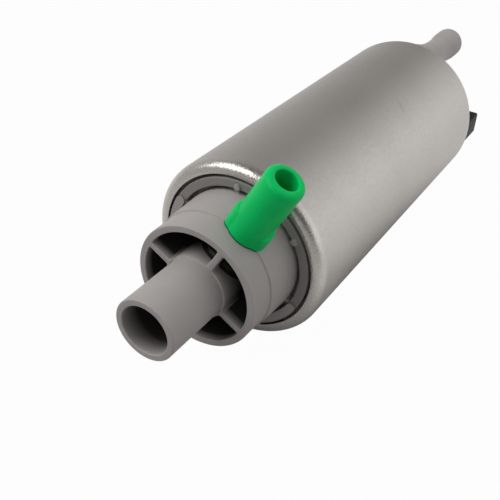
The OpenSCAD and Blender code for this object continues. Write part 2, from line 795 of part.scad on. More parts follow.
// Holder with a guide for each brush, the upper bush's tower and the chokes' cups
module brush_holder() color("#d9d2c0") difference() {
  union() {
    rod(holder_x, holder_x + holder_plate_t, body_r);
    tube(holder_x, holder_end, body_r, body_r - holder_wall);
    rod(holder_x, holder_x + bush_tower, bush_tower_r);
    for (side = [-1, 1]) {
      block([holder_x, side * brush_set - guide_w / 2, -guide_h / 2],
        [guide_end, side * brush_set + guide_w / 2, guide_h / 2]);
      translate([0, side * choke_y, choke_z])
        rod(holder_x, choke_x + cup_h, choke_core_r + seat_fit + cup_wall);
    }
  }
  rod(holder_x - past, holder_x + bush_tower + past, bush_r + seat_fit);
  for (side = [-1, 1]) {
    translate([0, side * brush_set, 0]) {
      block([holder_x - past, -brush_w / 2 - brush_fit, -brush_h / 2 - brush_fit],
        [guide_end + past, brush_w / 2 + brush_fit, brush_h / 2 + brush_fit]);
      block([brush_end - 2 * lead_set - lead_r, -lead_slot_w / 2, -guide_h],
        [guide_end + past, lead_slot_w / 2, 0]);
    }
    translate([0, side * choke_y, choke_z])
      rod(choke_x, choke_x + cup_h + past, choke_core_r + seat_fit);
  }
  for (angle = [0:60:300]) clock(angle + 30) translate([0, 0, body_r - holder_wall - 3])
    rod(holder_x - past, holder_x + holder_plate_t + past, 1.4);
}

module upper_bush() color("#b08d57")
  tube(upper_bush_x, upper_bush_x + upper_bush_len, bush_r, shaft_r + run_fit);

// Carbon brush on one side
module brush(side) color("#3b3b3e") translate([0, side * brush_set, 0])
  block([brush_x, -brush_w / 2, -brush_h / 2], [brush_end, brush_w / 2, brush_h / 2]);

module brush_left() brush(-1);
module brush_right() brush(1);

// Spring that presses a brush on the commutator
module brush_spring(side) color("#c9cacc") translate([0, side * brush_set, 0])
  coil(brush_end + seat_fit, guide_end - seat_fit, brush_coil_r, brush_wire_r, brush_turns);

module brush_spring_left() brush_spring(-1);
module brush_spring_right() brush_spring(1);

// Lead from a brush's underside to the foot of its choke's winding, in a slack S
module brush_lead(side) color("#c07a3e") {
  steps = 8;
  sides = 8;
  start = [brush_end - lead_set, side * brush_set, -brush_h / 2 - seat_fit];
  finish = [choke_coil_x + 1, side * choke_y, choke_z + choke_out_r + seat_fit];
  points = [for (i = [0:steps])
    let (share = i / steps, sway = (1 - cos(180 * share)) / 2,
      centre = [start.x + (finish.x - start.x) * sway, start.y + (finish.y - start.y) * sway,
        start.z + (finish.z - start.z) * share])
    for (k = [0:sides - 1])
      centre + lead_r * [cos(360 * k / sides), -sin(360 * k / sides), 0]];
  tube_faces(points, steps, sides);
}

module brush_lead_left() brush_lead(-1);
module brush_lead_right() brush_lead(1);

// Caps that close the brush guides
module brush_caps() color("#b7b9bb") for (side = [-1, 1]) translate([0, side * brush_set, 0])
  block([guide_end, -guide_w / 2, -guide_h / 2], [guide_end + cap_t, guide_w / 2, guide_h / 2]);

module choke_cores() color("#3a3a3c") for (side = [-1, 1])
  translate([0, side * choke_y, choke_z]) rod(choke_x, choke_end, choke_core_r);

module choke_coils() color("#b5632c") for (side = [-1, 1]) translate([0, side * choke_y, choke_z])
  coil(choke_coil_x, choke_coil_end, choke_coil_r, choke_wire_r, choke_turns);

// Blade in the connector, from its leg's x
module blade(x, y) block([x, y - blade_t / 2, shroud_z - blade_w / 2],
  [blade_end, y + blade_t / 2, shroud_z + blade_w / 2]);

// Tab against the head of the choke's winding
module choke_tab(x, y, top) {
  block([x, y - blade_t / 2, choke_z - tab_z / 2], [x + leg_w, y + blade_t / 2, top]);
  block([choke_end - tab_len, y - blade_t / 2, choke_z - tab_z / 2],
    [x + leg_w, y + blade_t / 2, choke_z + tab_z / 2]);
}

// Terminal nearer the pump's axis, joined to the choke on its own side
module terminal_inner() color("#c8a85a") {
  blade(inner_leg_x, inner_y);
  block([inner_leg_x, inner_y - blade_t / 2, shroud_z - blade_w / 2 - 2 * blade_t],
    [inner_leg_x + leg_w, inner_y + blade_t / 2, shroud_z]);
  block([inner_leg_x, min(inner_y, -tab_y) - blade_t / 2, shroud_z - blade_w / 2 - 2 * blade_t],
    [inner_leg_x + leg_w, max(inner_y, -tab_y) + blade_t / 2, shroud_z - blade_w / 2 - blade_t]);
  choke_tab(inner_leg_x, -tab_y, shroud_z - blade_w / 2 - blade_t);
}

// Terminal farther out, which crosses to the choke on the other side
module terminal_outer() color("#c8a85a") {
  blade(outer_leg_x, outer_y);
  block([outer_leg_x, outer_y - blade_t / 2, cross_z - blade_t],
    [outer_leg_x + leg_w, outer_y + blade_t / 2, shroud_z]);
  block([outer_leg_x, outer_y - blade_t / 2, cross_z - blade_t],
    [outer_leg_x + leg_w, tab_y + blade_t / 2, cross_z]);
  choke_tab(outer_leg_x, tab_y, cross_z);
}

// Outline of the outlet cover round the pump's axis
module outlet_profile() difference() {
  union() {
    translate([0, seat_b]) mirror([0, 1]) flange(0, outlet_len);
    band(0, disc_r, seat_b - past, disc_x);
  }
  band(0, outlet_rim_r, outlet_x - past, outlet_inner_x);
  band(seal_groove_r, body_r + past, outlet_seal_x - seal_groove_w / 2,
    outlet_seal_x + seal_groove_w / 2);
}

// Radius of the nipple's flared foot at a share of its length
function flare_r(share) = nipple_r + (boss_r - nipple_r) * pow(1 - share, 2);

// Nipple round its own axis: boss, flared foot, stem and bead
module nipple_profile() {
  flare_steps = 12;
  band(0, boss_r, seat_b, flare_start);
  polygon(concat([[0, flare_start]],
    [for (i = [0:flare_steps]) [flare_r(i / flare_steps),
      flare_start + (flare_end - flare_start) * i / flare_steps]],
    [[0, flare_end]]));
  bead_x = nipple_end - bead_len;
  band(0, nipple_r, flare_end, bead_x);
  polygon([[0, bead_x - bead_ramp], [nipple_r, bead_x - bead_ramp], [bead_r, bead_x], [0, bead_x]]);
  band(0, bead_r, bead_x, nipple_end - bead_round);
  band(0, bead_r - bead_round, bead_x, nipple_end);
  translate([bead_r - bead_round, nipple_end - bead_round]) circle(bead_round);
}

// Moulded cover with the outlet nipple, both valves' chambers and the connector's slot
module outlet_cover() color(grey) difference() {
  union() {
    turned() outlet_profile();
    translate([0, 0, nipple_set]) {
      turned() nipple_profile();
      intersection() {
        rod(socket_x, seat_b, socket_r);
        translate([0, 0, -nipple_set]) rod(socket_x, seat_b, outlet_rim_r + past);
      }
    }
    translate([0, relief_y, relief_z]) rod(relief_in_x, relief_end, relief_boss_r);
  }
  translate([0, 0, nipple_set]) {
    rod(socket_x - past, chamber_end, chamber_r);
    rod(socket_x, nipple_end + past, nipple_bore_r);
  }
  translate([0, relief_y, relief_z]) {
    rod(relief_in_x - past, relief_end, relief_hole_r);
    rod(relief_seat_x, relief_end + past, relief_r);
  }
  translate([0, shroud_y, shroud_z]) block([outlet_x, -stem_w / 2 - seat_fit,
    -stem_h / 2 - seat_fit], [end_b + past, stem_w / 2 + seat_fit, stem_h / 2 + seat_fit]);
}

module outlet_seal() seal_ring(outlet_seal_x);

// Plug with the check valve's seat
module valve_seat() color("#e2e0da") translate([0, 0, nipple_set])
  tube(socket_x, seat_face, plug_r, seat_hole_r);

// Check valve: nose, head and stem
module check_poppet() color("#e9e7e0") translate([0, 0, nipple_set]) {
  rod(poppet_x - 0.8, head_x + past / 2, nose_r);
  rod(head_x, head_x + head_t, head_r);
  rod(head_x + head_t, poppet_end, stem_r);
}

// Rubber disc that closes on the seat
module check_seal() color("#1f1f22") translate([0, 0, nipple_set])
  tube(poppet_x, head_x, seal_disc_r, nose_r);

module check_spring() color("#c9cacc") translate([0, 0, nipple_set])
  coil(head_x + head_t + seat_fit, guide_x - seat_fit, check_coil_r, check_wire_r, check_turns);

// Spider that guides the check valve's stem and seats its spring
module valve_guide() color("#e2e0da") translate([0, 0, nipple_set]) {
  tube(guide_x, guide_x + guide_t, plug_r, plug_r - guide_rim);
  difference() {
    union() {
      rod(guide_x, guide_x + guide_t, guide_hub_r);
      for (angle = [0, 120, 240]) clock(angle)
        block([guide_x, -arm_t / 2, 0], [guide_x + guide_t, arm_t / 2, plug_r - guide_rim / 2]);
    }
    rod(guide_x - past, guide_x + guide_t + past, stem_r + guide_fit);
  }
}

module relief_ball() color("#d4d6d8") translate([ball_x, relief_y, relief_z]) sphere(ball_r);

module relief_spring() color("#c9cacc") translate([0, relief_y, relief_z])
  coil(ball_x + sqrt(ball_r * ball_r - relief_coil_r * relief_coil_r) + relief_wire_r + seat_fit,
    relief_cap_x - seat_fit, relief_coil_r, relief_wire_r, relief_turns);

// Vented plug that seats the relief valve's spring
module relief_cap() color("#e2e0da") translate([0, relief_y, relief_z])
  tube(relief_cap_x, relief_end - 0.3, relief_r - seat_fit, relief_vent_r);

// Rectangle with round corners, drawn in Y and Z
module round_rect(w, h, r) {
  square([w - 2 * r, h], center = true);
  square([w, h - 2 * r], center = true);
  for (y = [-1, 1], z = [-1, 1]) translate([y * (w / 2 - r), z * (h / 2 - r)]) circle(r);
}

// Black housing that holds both terminals, with its shroud beyond the case
module connector_housing() color(black) translate([0, shroud_y, shroud_z]) difference() {
  union() {
    prism(shroud_x, shroud_end) round_rect(shroud_w, shroud_h, shroud_round);
    block([stem_x, -stem_w / 2, -stem_h / 2], [shroud_x + past / 2, stem_w / 2, stem_h / 2]);
  }
  prism(shroud_x + shroud_floor, shroud_end + past)
    square([shroud_w - 2 * shroud_wall, shroud_h - 2 * shroud_wall], center = true);
  for (side = [-1, 1]) translate([0, side * terminal_pitch / 2, 0])
    block([outlet_x, -blade_t / 2 - seat_fit, -blade_w / 2 - seat_fit],
      [shroud_end, blade_t / 2 + seat_fit, blade_w / 2 + seat_fit]);
}

case();
inlet_cover();
side_nozzle();
inlet_seal();
inlet_plate();
thrust_pad();
pump_ring();
impeller();
outlet_plate();
lower_bush();
flux_ring();
magnet_left();
magnet_right();
magnet_springs();
shaft();
shaft_spacer();
lamination_stack();
slot_insulators();
windings();
commutator_base();
commutator_segments();
brush_holder();
upper_bush();
brush_left();
brush_right();
brush_spring_left();
brush_spring_right();
brush_lead_left();
brush_lead_right();
brush_caps();
choke_cores();
choke_coils();
terminal_inner();
terminal_outer();
outlet_cover();
outlet_seal();
valve_seat();
check_poppet();
check_seal();
check_spring();
valve_guide();
relief_ball();
relief_spring();
relief_cap();
connector_housing();
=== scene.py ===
"""Dresses an electric fuel pump: finishes for every part, and the moulded and rolled pieces that show."""

import json
import math
from collections import namedtuple
from types import SimpleNamespace

import bmesh
import bpy
from mathutils import Matrix, Vector


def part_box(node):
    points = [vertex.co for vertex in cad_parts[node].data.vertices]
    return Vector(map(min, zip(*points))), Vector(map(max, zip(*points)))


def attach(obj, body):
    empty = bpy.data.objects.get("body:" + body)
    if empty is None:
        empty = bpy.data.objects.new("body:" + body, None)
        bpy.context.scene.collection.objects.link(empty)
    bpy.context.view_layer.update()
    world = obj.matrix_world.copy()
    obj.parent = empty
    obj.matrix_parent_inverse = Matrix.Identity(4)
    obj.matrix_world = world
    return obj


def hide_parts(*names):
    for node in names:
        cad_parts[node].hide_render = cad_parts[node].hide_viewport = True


bl_info = {
    "name": "Electric fuel pump",
    "version": (1, 0, 0),
    "blender": (4, 5, 0),
    "location": "3D View > Sidebar > Fuel pump",
    "description": "Builds the shown pieces, finishes and stage of an in-tank electric fuel pump",
    "category": "Object",
}

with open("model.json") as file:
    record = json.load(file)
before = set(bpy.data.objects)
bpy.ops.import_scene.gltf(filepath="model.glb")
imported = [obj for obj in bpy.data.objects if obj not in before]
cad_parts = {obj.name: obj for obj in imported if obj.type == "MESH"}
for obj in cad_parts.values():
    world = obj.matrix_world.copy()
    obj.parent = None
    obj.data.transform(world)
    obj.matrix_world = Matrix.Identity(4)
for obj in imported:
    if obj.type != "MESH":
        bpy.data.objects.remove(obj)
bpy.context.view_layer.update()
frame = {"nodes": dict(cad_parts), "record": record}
MM = 0.001

CASE_LOW, CASE_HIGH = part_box("case")
INLET_LOW, INLET_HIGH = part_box("inlet_cover")
OUTLET_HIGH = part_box("outlet_cover")[1]
SHROUD_LOW, SHROUD_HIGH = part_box("connector_housing")


# Sizes and colours that a user would change


def length(name, description, default):
    """A size in metres, shown in the scene's own unit."""
    return bpy.props.FloatProperty(name=name, description=description, default=default, unit="LENGTH",
                                   precision=5)


def colour(name, description, code):
    """A colour given as an sRGB hex value."""
    return bpy.props.FloatVectorProperty(name=name, description=description, default=linear(code),
                                         subtype="COLOR", size=3, min=0, max=1)


def linear(code):
    """Linear colour of an sRGB hex value such as #9a9794."""
    parts = [int(code[i:i + 2], 16) / 255 for i in (1, 3, 5)]
    return tuple(c / 12.92 if c <= 0.04045 else ((c + 0.055) / 1.055) ** 2.4 for c in parts)


class PumpSizes(bpy.types.PropertyGroup):
    """Sizes of the pieces that show."""
    case_radius: length("Case radius", "Outside radius of the steel case", CASE_HIGH.z)
    case_wall: length("Case wall", "Thickness of the steel", 1 * MM)
    roll_radius: length("Roll radius", "Outside radius of the case's rolled ends", 2.3 * MM)
    lip_flat: length("Lip flat", "Width of the flat lip inside the roll", 0.55 * MM)
    tube_radius: length("Tube radius", "Outside radius of the inlet tube", 7 * MM)
    tube_bore: length("Tube bore", "Radius of the inlet tube's bore", 5.5 * MM)
    hub_step: length("Hub step", "Thickness of the collar where the ribs meet the tube", 0.35 * MM)
    skirt_radius: length("Skirt radius", "Outside radius of the skirt", 14.35 * MM)
    skirt_wall: length("Skirt wall", "Thickness of the skirt", 1.6 * MM)
    skirt_reach: length("Skirt reach", "Reach of the skirt past the case", 15.3 * MM)
    root_length: length("Root length", "Length of the thicker root of the skirt", 9 * MM)
    root_step: length("Root step", "Height of the step at the skirt's root", 0.35 * MM)
    rib_thickness: length("Rib thickness", "Thickness of the ribs", 1.4 * MM)
    rib_count: bpy.props.IntProperty(name="Ribs", description="Number of ribs", default=4, min=3, max=6)
    ring_width: length("Ring width", "Width of the raised ring", 2.1 * MM)
    ring_gap: length("Ring gap", "Gap between the ring and the case's lip", 0.7 * MM)
    nozzle_radius: length("Nozzle radius", "Outside radius of the side nozzle", 4.25 * MM)
    nozzle_bore: length("Nozzle bore", "Radius of the side nozzle's bore", 2.5 * MM)
    nozzle_reach: length("Nozzle reach", "Distance of the nozzle's tip from the pump's axis", 31 * MM)
    nozzle_set: length("Nozzle set", "Distance from the case's end to the nozzle's axis", 7.2 * MM)
    nozzle_clock: bpy.props.FloatProperty(name="Nozzle clock", description="Clock angle of the nozzle",
                                          default=math.radians(30), subtype="ANGLE")
    nipple_set: length("Nipple set", "Distance of the outlet nipple from the pump's axis", 11.4 * MM)
    nipple_radius: length("Nipple radius", "Outside radius of the nipple's stem", 4.1 * MM)
    nipple_bore: length("Nipple bore", "Radius of the nipple's bore", 2.6 * MM)
    bead_radius: length("Bead radius", "Radius of the bead at the nipple's end", 4.55 * MM)
    boss_radius: length("Boss radius", "Radius of the boss at the nipple's foot", 6.9 * MM)
    shroud_wall: length("Shroud wall", "Thickness of the connector's shroud", 0.9 * MM)


class PumpColours(bpy.types.PropertyGroup):
    """Colours of the finishes that show."""
    steel: colour("Steel", "Blasted steel of the case", "#bab6b1")
    grey: colour("Grey plastic", "Moulded covers", "#9b9795")
    green: colour("Green plastic", "Side nozzle", "#01bb5f")
    black: colour("Black plastic", "Connector", "#1d1e1d")


class StageSettings(bpy.types.PropertyGroup):
    """Camera and light."""
    lens: bpy.props.FloatProperty(name="Lens", description="Focal length", default=53.07,
                                  subtype="DISTANCE_CAMERA")
    lamp_share: bpy.props.FloatProperty(name="Lamp share", description="Share of the lamps' power",
                                        default=1.0, subtype="FACTOR", min=0, max=2)


# Outlines and meshes, where a shape is its points and its faces


def rounded(corners, steps=5):
    """Closed outline through corners of (along, radius, rounding), each rounded by an arc."""
    path = []
    for i, (along, radius, rounding) in enumerate(corners):
        here = Vector((along, radius))
        back = Vector(corners[i - 1][:2]) - here
        ahead = Vector(corners[(i + 1) % len(corners)][:2]) - here
        if rounding <= 0:
            path.append(here)
            continue
        half = back.angle(ahead) / 2
        # an arc takes a little less than half of each side, so that two never meet
        cut = min(rounding / math.tan(half), 0.49 * back.length, 0.49 * ahead.length)
        rounding = cut * math.tan(half)
        back.normalize()
        ahead.normalize()
        centre = here + (back + ahead).normalized() * rounding / math.sin(half)
        first, last = here + back * cut - centre, here + ahead * cut - centre
        turn = math.pi - 2 * half
        for k in range(steps + 1):
            share = k / steps
            swung = first * math.sin((1 - share) * turn) + last * math.sin(share * turn)
            path.append(centre + swung / math.sin(turn))
    return held(path)


def held(path, gap=0.06 * MM):
    """The outline with a point close to each end of its long stretches, so flats stay flat when shaded."""
    out = []
    for i, point in enumerate(path):
        ahead = path[(i + 1) % len(path)] - point
        out.append(point)
        if ahead.length > 6 * gap:
            step = ahead.normalized() * gap
            out += [point + step, point + ahead - step]
    return out


def arc(centre, radius, start_angle, end_angle, steps):
    """Points of an arc in an outline. Angle 0 points away from the axis, and a right angle along it."""
    turn = end_angle - start_angle
    angles = [start_angle + turn * k / steps for k in range(steps + 1)]
    return [centre + radius * Vector((math.sin(angle), math.cos(angle))) for angle in angles]


def turned(path, steps, place=None):
    """Shape turned from a closed outline of (along, radius) about the local X axis."""
    place = place or Matrix.Identity(4)
    on_axis = 1e-7
    points, faces, rows = [], [], []
    for along, radius in path:
        if radius < on_axis:
            points.append(place @ Vector((along, 0, 0)))
            rows.append([len(points) - 1] * steps)
            continue
        rows.append(list(range(len(points), len(points) + steps)))
        for k in range(steps):
            angle = math.tau * k / steps
            points.append(place @ Vector((along, -radius * math.sin(angle), radius * math.cos(angle))))
    for i, row in enumerate(rows):
        after = rows[(i + 1) % len(rows)]
        for k in range(steps):
            m = (k + 1) % steps
            face = list(dict.fromkeys((row[k], row[m], after[m], after[k])))
            if len(face) > 2:
                faces.append(face)
    return points, faces


def lofted(rings, closed=False):
    """Shape whose skin joins rings of as many points each, with flat ends unless it is closed on itself."""
    count = len(rings[0])
    points = [p for ring in rings for p in ring]
    faces = []
    for i in range(len(rings) if closed else len(rings) - 1):
        a, b = i * count, (i + 1) % len(rings) * count
        faces += [[a + k, a + (k + 1) % count, b + (k + 1) % count, b + k] for k in range(count)]
    if not closed:
        faces.append(list(range(count - 1, -1, -1)))
        faces.append([(len(rings) - 1) * count + k for k in range(count)])
    return points, faces


def moved(shape, place):
    """The shape under a matrix."""
    return [place @ p for p in shape[0]], shape[1]


def clock(angle):
    """Turns from +Z towards -Y about the pump's axis."""
    return Matrix.Rotation(angle, 4, "X")


def shifted(x=0, y=0, z=0):
    """Moves by x, y and z."""
    return Matrix.Translation((x, y, z))


def upright(along, angle):
    """Stands a turned shape's X axis on the pump's axis at a place along it and a clock angle."""
    return clock(angle) @ shifted(along) @ Matrix.Rotation(math.radians(-90), 4, "Y")


def soft_edge(x0, x1, rounding, steps=3):
    """Stations of (place, inset) from a rounded edge at x0 to a plain end at x1, the greater of the two."""
    angles = [math.pi / 2 * k / steps for k in range(steps + 1)]
    return [(x0 + rounding * (1 - math.cos(a)), rounding * (1 - math.sin(a))) for a in angles] + [(x1, 0)]


def make(name, shapes, finish, nodes, body="pump", crease=32):
    """One piece from shapes, with its finish, that stands for CAD nodes and rides on a body."""
    mesh = bpy.data.meshes.new(name)
    points, faces = [], []
    for shape_points, shape_faces in shapes:
        start = len(points)
        points += shape_points
        faces += [[start + k for k in face] for face in shape_faces]
    mesh.from_pydata(points, [], faces)
    work = bmesh.new()
    work.from_mesh(mesh)
    bmesh.ops.recalc_face_normals(work, faces=work.faces)
    work.to_mesh(mesh)
    work.free()
    mesh.shade_smooth()
    mesh.set_sharp_from_angle(angle=math.radians(crease))
    mesh.materials.append(finish)
    piece = bpy.data.objects.new(name, mesh)
    bpy.context.scene.collection.objects.link(piece)
    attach(piece, body)
    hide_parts(*nodes)


# Helpers for finishes


def add(tree, kind, inputs=None, **settings):
    """Adds one shader node. An input is a value, or a (node, output) pair to link."""
    node = tree.nodes.new(kind)
    for name, value in settings.items():
        setattr(node, name, value)
    for key, value in (inputs or {}).items():
        if isinstance(value, tuple) and isinstance(value[0], bpy.types.Node):
            tree.links.new(value[0].outputs[value[1]], node.inputs[key])
        else:
            node.inputs[key].default_value = value
    return node


def start(name, **fixed):
    """A new material, its tree, its shader with fixed inputs, and its object coordinates."""
    material = bpy.data.materials.new(name)
    material.use_nodes = True
    tree = material.node_tree
    shader = tree.nodes["Principled BSDF"]
    for key, value in fixed.items():
        shader.inputs[key.replace("_", " ")].default_value = value
    return material, tree, shader, add(tree, "ShaderNodeTexCoord")


def scale_for(size):
    """Noise scale whose spots are about this size across, in metres."""
    return 1 / (2 * size)


def speckle(tree, coords, size, low, high, detail=2):
    """Spots of a real size, spread from low to high over the values that noise mostly takes."""
    noise = add(tree, "ShaderNodeTexNoise", {"Vector": (coords, "Object"), "Scale": scale_for(size),
                                             "Detail": detail})
    return add(tree, "ShaderNodeMapRange", {"Value": (noise, 0), "From Min": 0.3, "From Max": 0.7,
                                            "To Min": low, "To Max": high})


def grit(tree, shader, coords, size, depth):
    """Fine bumps of a real size and depth."""
    noise = add(tree, "ShaderNodeTexNoise", {"Vector": (coords, "Object"), "Scale": scale_for(size),
                                             "Detail": 3})
    bump = add(tree, "ShaderNodeBump", {"Height": (noise, 0), "Distance": depth})
    tree.links.new(bump.outputs[0], shader.inputs["Normal"])


def rough(tree, shader, coords, size, low, high):
    """Roughness that wanders between two values, in spots of a real size."""
    tree.links.new(speckle(tree, coords, size, low, high).outputs[0], shader.inputs["Roughness"])


def shade(tint, factor):
    """The colour made darker or lighter."""
    return tuple(min(c * factor, 1) for c in tint)


def tinted(tree, shader, mask, dark, light):
    """Gives the shader a colour between two, by a mask."""
    mix = add(tree, "ShaderNodeMix", {0: mask, 6: (*dark, 1), 7: (*light, 1)}, data_type="RGBA")
    tree.links.new(mix.outputs[2], shader.inputs["Base Color"])


def clouded(tree, shader, coords, tint, size, contrast, detail=4):
    """Gives the shader a colour that wanders round a tint, in clouds of a real size."""
    cloud = speckle(tree, coords, size, 0, 1, detail)
    tinted(tree, shader, (cloud, 0), shade(tint, 1 - contrast), shade(tint, 1 + contrast))


def covered(tree, shader, mask, tint):
    """Puts a colour over the one that the shader has, where a mask says so."""
    clean = shader.inputs["Base Color"].links[0].from_node
    mix = add(tree, "ShaderNodeMix", {0: mask, 6: (clean, 2), 7: (*tint, 1)}, data_type="RGBA")
    tree.links.new(mix.outputs[2], shader.inputs["Base Color"])


def moulded(name, tint, roughness, grain, depth=0.006 * MM, contrast=0.06, **fixed):
    """Moulded or pressed skin: matt, with a faint cloudiness and a fine spark-eroded grain."""
    material, tree, shader, coords = start(name, **fixed)
    clouded(tree, shader, coords, tint, 3 * MM, contrast)
    rough(tree, shader, coords, 1.5 * MM, roughness - 0.05, roughness + 0.05)
    grit(tree, shader, coords, grain, depth)
    return material


def metal(name, tint, roughness, grain, depth, contrast=0.08):
    """Bare metal with a grain of a real size."""
    material, tree, shader, coords = start(name, Metallic=1.0)
    clouded(tree, shader, coords, tint, 2 * MM, contrast)
    rough(tree, shader, coords, grain * 4, roughness - 0.06, roughness + 0.06)
    grit(tree, shader, coords, grain, depth)
    return material


def banded(name, tint, dark, pitch, roughness, depth, wave_type="BANDS"):
    """Metal in even stripes of a real pitch, as laminations, wire or turning marks leave."""
    material, tree, shader, coords = start(name, Metallic=1.0, Roughness=roughness)
    # a wave of scale 1 repeats every pi / 10
    wave = add(tree, "ShaderNodeTexWave", {"Vector": (coords, "Object"), "Scale": math.pi / (10 * pitch),
                                           "Distortion": 0.4, "Detail": 1.0},
               wave_type=wave_type, bands_direction="X", rings_direction="X")
    tinted(tree, shader, (wave, 1), dark, tint)
    bump = add(tree, "ShaderNodeBump", {"Height": (wave, 1), "Distance": depth})
    tree.links.new(bump.outputs[0], shader.inputs["Normal"])
    return material


# Finishes of the parts inside the pump


def machined_aluminium():
    """Cast aluminium, machined: fine turning rings on a bright ground."""
    return banded("machined_aluminium", linear("#c6c7c8"), linear("#a9abad"), pitch=0.3 * MM, roughness=0.35,
                  depth=0.01 * MM, wave_type="RINGS")


def ground_steel():
    """Hard steel, ground: bright, with a fine even grain."""
    return metal("ground_steel", linear("#d2d4d6"), roughness=0.2, grain=0.08 * MM, depth=0.003 * MM)


def laminated_steel():
    """Rolled and stamped steel: a duller grey, striped by sheets of 0.5 mm."""
    return banded("laminated_steel", linear("#8d9094"), linear("#5b5e62"), pitch=0.5 * MM, roughness=0.42,
                  depth=0.03 * MM)


def drawn_spring_steel():
    """Drawn spring wire: smooth and bright."""
    return metal("drawn_spring_steel", linear("#c3c5c7"), roughness=0.28, grain=0.05 * MM, depth=0.002 * MM)


def sintered_ferrite():
    """Sintered ferrite: dark, dull and slightly porous."""
    return moulded("sintered_ferrite", linear("#3a3b3e"), roughness=0.6, grain=0.2 * MM, depth=0.02 * MM,
                   contrast=0.12)


def sintered_bronze():
    """Sintered bronze: dull gold with open pores."""
    return metal("sintered_bronze", linear("#b28d55"), roughness=0.45, grain=0.12 * MM, depth=0.02 * MM,
                 contrast=0.15)


def enamelled_copper():
    """Enamelled copper wire: glossy red-brown strands, 0.7 mm apart."""
    return banded("enamelled_copper", linear("#c4713a"), linear("#8a4a24"), pitch=0.7 * MM, roughness=0.28,
                  depth=0.12 * MM)


def stamped_brass():
    """Brass sheet, stamped: warm and smooth, with faint rolling marks."""
    return metal("stamped_brass", linear("#cbab62"), roughness=0.3, grain=0.1 * MM, depth=0.003 * MM)


def pressed_carbon():
    """Pressed carbon: almost black, with a fine grain."""
    return moulded("pressed_carbon", linear("#2c2d30"), roughness=0.55, grain=0.15 * MM, depth=0.012 * MM,
                   contrast=0.15)


def natural_nylon():
    """Glass-filled nylon, moulded: cream with a faint fibre mottle."""
    return moulded("natural_nylon", linear("#d8d0be"), roughness=0.5, grain=0.25 * MM, depth=0.008 * MM,
                   contrast=0.05)


def white_acetal():
    """White acetal, moulded: clean and slightly waxy."""
    return moulded("white_acetal", linear("#e4e2db"), roughness=0.38, grain=0.2 * MM, depth=0.003 * MM,
                   contrast=0.02)


def dark_phenolic():
    """Phenolic resin of the impeller, moulded: dark slate, hard and smooth."""
    return moulded("dark_phenolic", linear("#3b3d42"), roughness=0.4, grain=0.15 * MM, depth=0.004 * MM,
                   contrast=0.1)


def brown_phenolic():
    """Phenolic resin of the commutator's base, moulded: deep brown and hard."""
    return moulded("brown_phenolic", linear("#5c3220"), roughness=0.38, grain=0.15 * MM, depth=0.004 * MM,
                   contrast=0.12)


def nitrile_rubber():
    """Nitrile rubber, moulded: black with a soft sheen."""
    return moulded("nitrile_rubber", linear("#222225"), roughness=0.5, grain=0.2 * MM, depth=0.005 * MM,
                   contrast=0.08)


INNER_FINISHES = {
    "cast_aluminium": machined_aluminium,
    "hard_steel": ground_steel,
    "flux_steel": laminated_steel,
    "spring_steel": drawn_spring_steel,
    "magnet_ferrite": sintered_ferrite,
    "bush_bronze": sintered_bronze,
    "copper_wire": enamelled_copper,
    "terminal_brass": stamped_brass,
    "carbon": pressed_carbon,
    "cream_plastic": natural_nylon,
    "white_plastic": white_acetal,
    "impeller_resin": dark_phenolic,
    "brown_resin": brown_phenolic,
    "seal_rubber": nitrile_rubber,
}


# Finishes of the pieces that show


def blasted_steel(tint):
    """Bead-blasted stainless steel, burnished where the ends were rolled.

    To the eye it is a soft, even sheen with a fine sparkle, and a brighter, grainier gloss on the rolls. The
    grains are 0.16 to 0.3 mm, coarser than blasting leaves, so that they show.
    """
    material, tree, shader, coords = start("blasted_stainless_steel", Metallic=1.0)
    cloud = speckle(tree, coords, 9 * MM, 0, 1, detail=3)
    grains = speckle(tree, coords, 0.28 * MM, 0, 1, detail=1)
    mottle = add(tree, "ShaderNodeMix", {0: 0.45, 2: (cloud, 0), 3: (grains, 0)})
    tinted(tree, shader, (mottle, 0), shade(tint, 0.93), shade(tint, 1.05))
    covered(tree, shader, (faint_scuff(tree, coords), 0), linear("#595959"))
    rolled = rolled_ends(tree, coords)
    satin = speckle(tree, coords, 0.5 * MM, 0.46, 0.54)
    burnished = speckle(tree, coords, 0.4 * MM, 0.22, 0.34)
    gloss = add(tree, "ShaderNodeMix", {0: (rolled, 0), 2: (satin, 0), 3: (burnished, 0)})
    tree.links.new(gloss.outputs[0], shader.inputs["Roughness"])
    fine, coarse = (add(tree, "ShaderNodeTexNoise", {"Vector": (coords, "Object"), "Scale": scale_for(size),
                                                     "Detail": 2}) for size in (0.16 * MM, 0.3 * MM))
    height = add(tree, "ShaderNodeMix", {0: (rolled, 0), 2: (fine, 0), 3: (coarse, 0)})
    depth = add(tree, "ShaderNodeMapRange", {"Value": (rolled, 0), "To Min": 0.012 * MM, "To Max": 0.06 * MM})
    bump = add(tree, "ShaderNodeBump", {"Height": (height, 0), "Distance": (depth, 0)})
    tree.links.new(bump.outputs[0], shader.inputs["Normal"])
    return material


def rolled_ends(tree, coords):
    """Mask that is 1 on the case's rolls and falls to 0 where they end."""
    place = add(tree, "ShaderNodeSeparateXYZ", {0: (coords, "Object")})
    from_middle = add(tree, "ShaderNodeMath", {0: (place, 0)}, operation="ABSOLUTE")
    roll_ends, roll_full = CASE_HIGH.x - 2.6 * MM, CASE_HIGH.x - 1.2 * MM
    return add(tree, "ShaderNodeMapRange", {"Value": (from_middle, 0), "From Min": roll_ends,
                                            "From Max": roll_full})


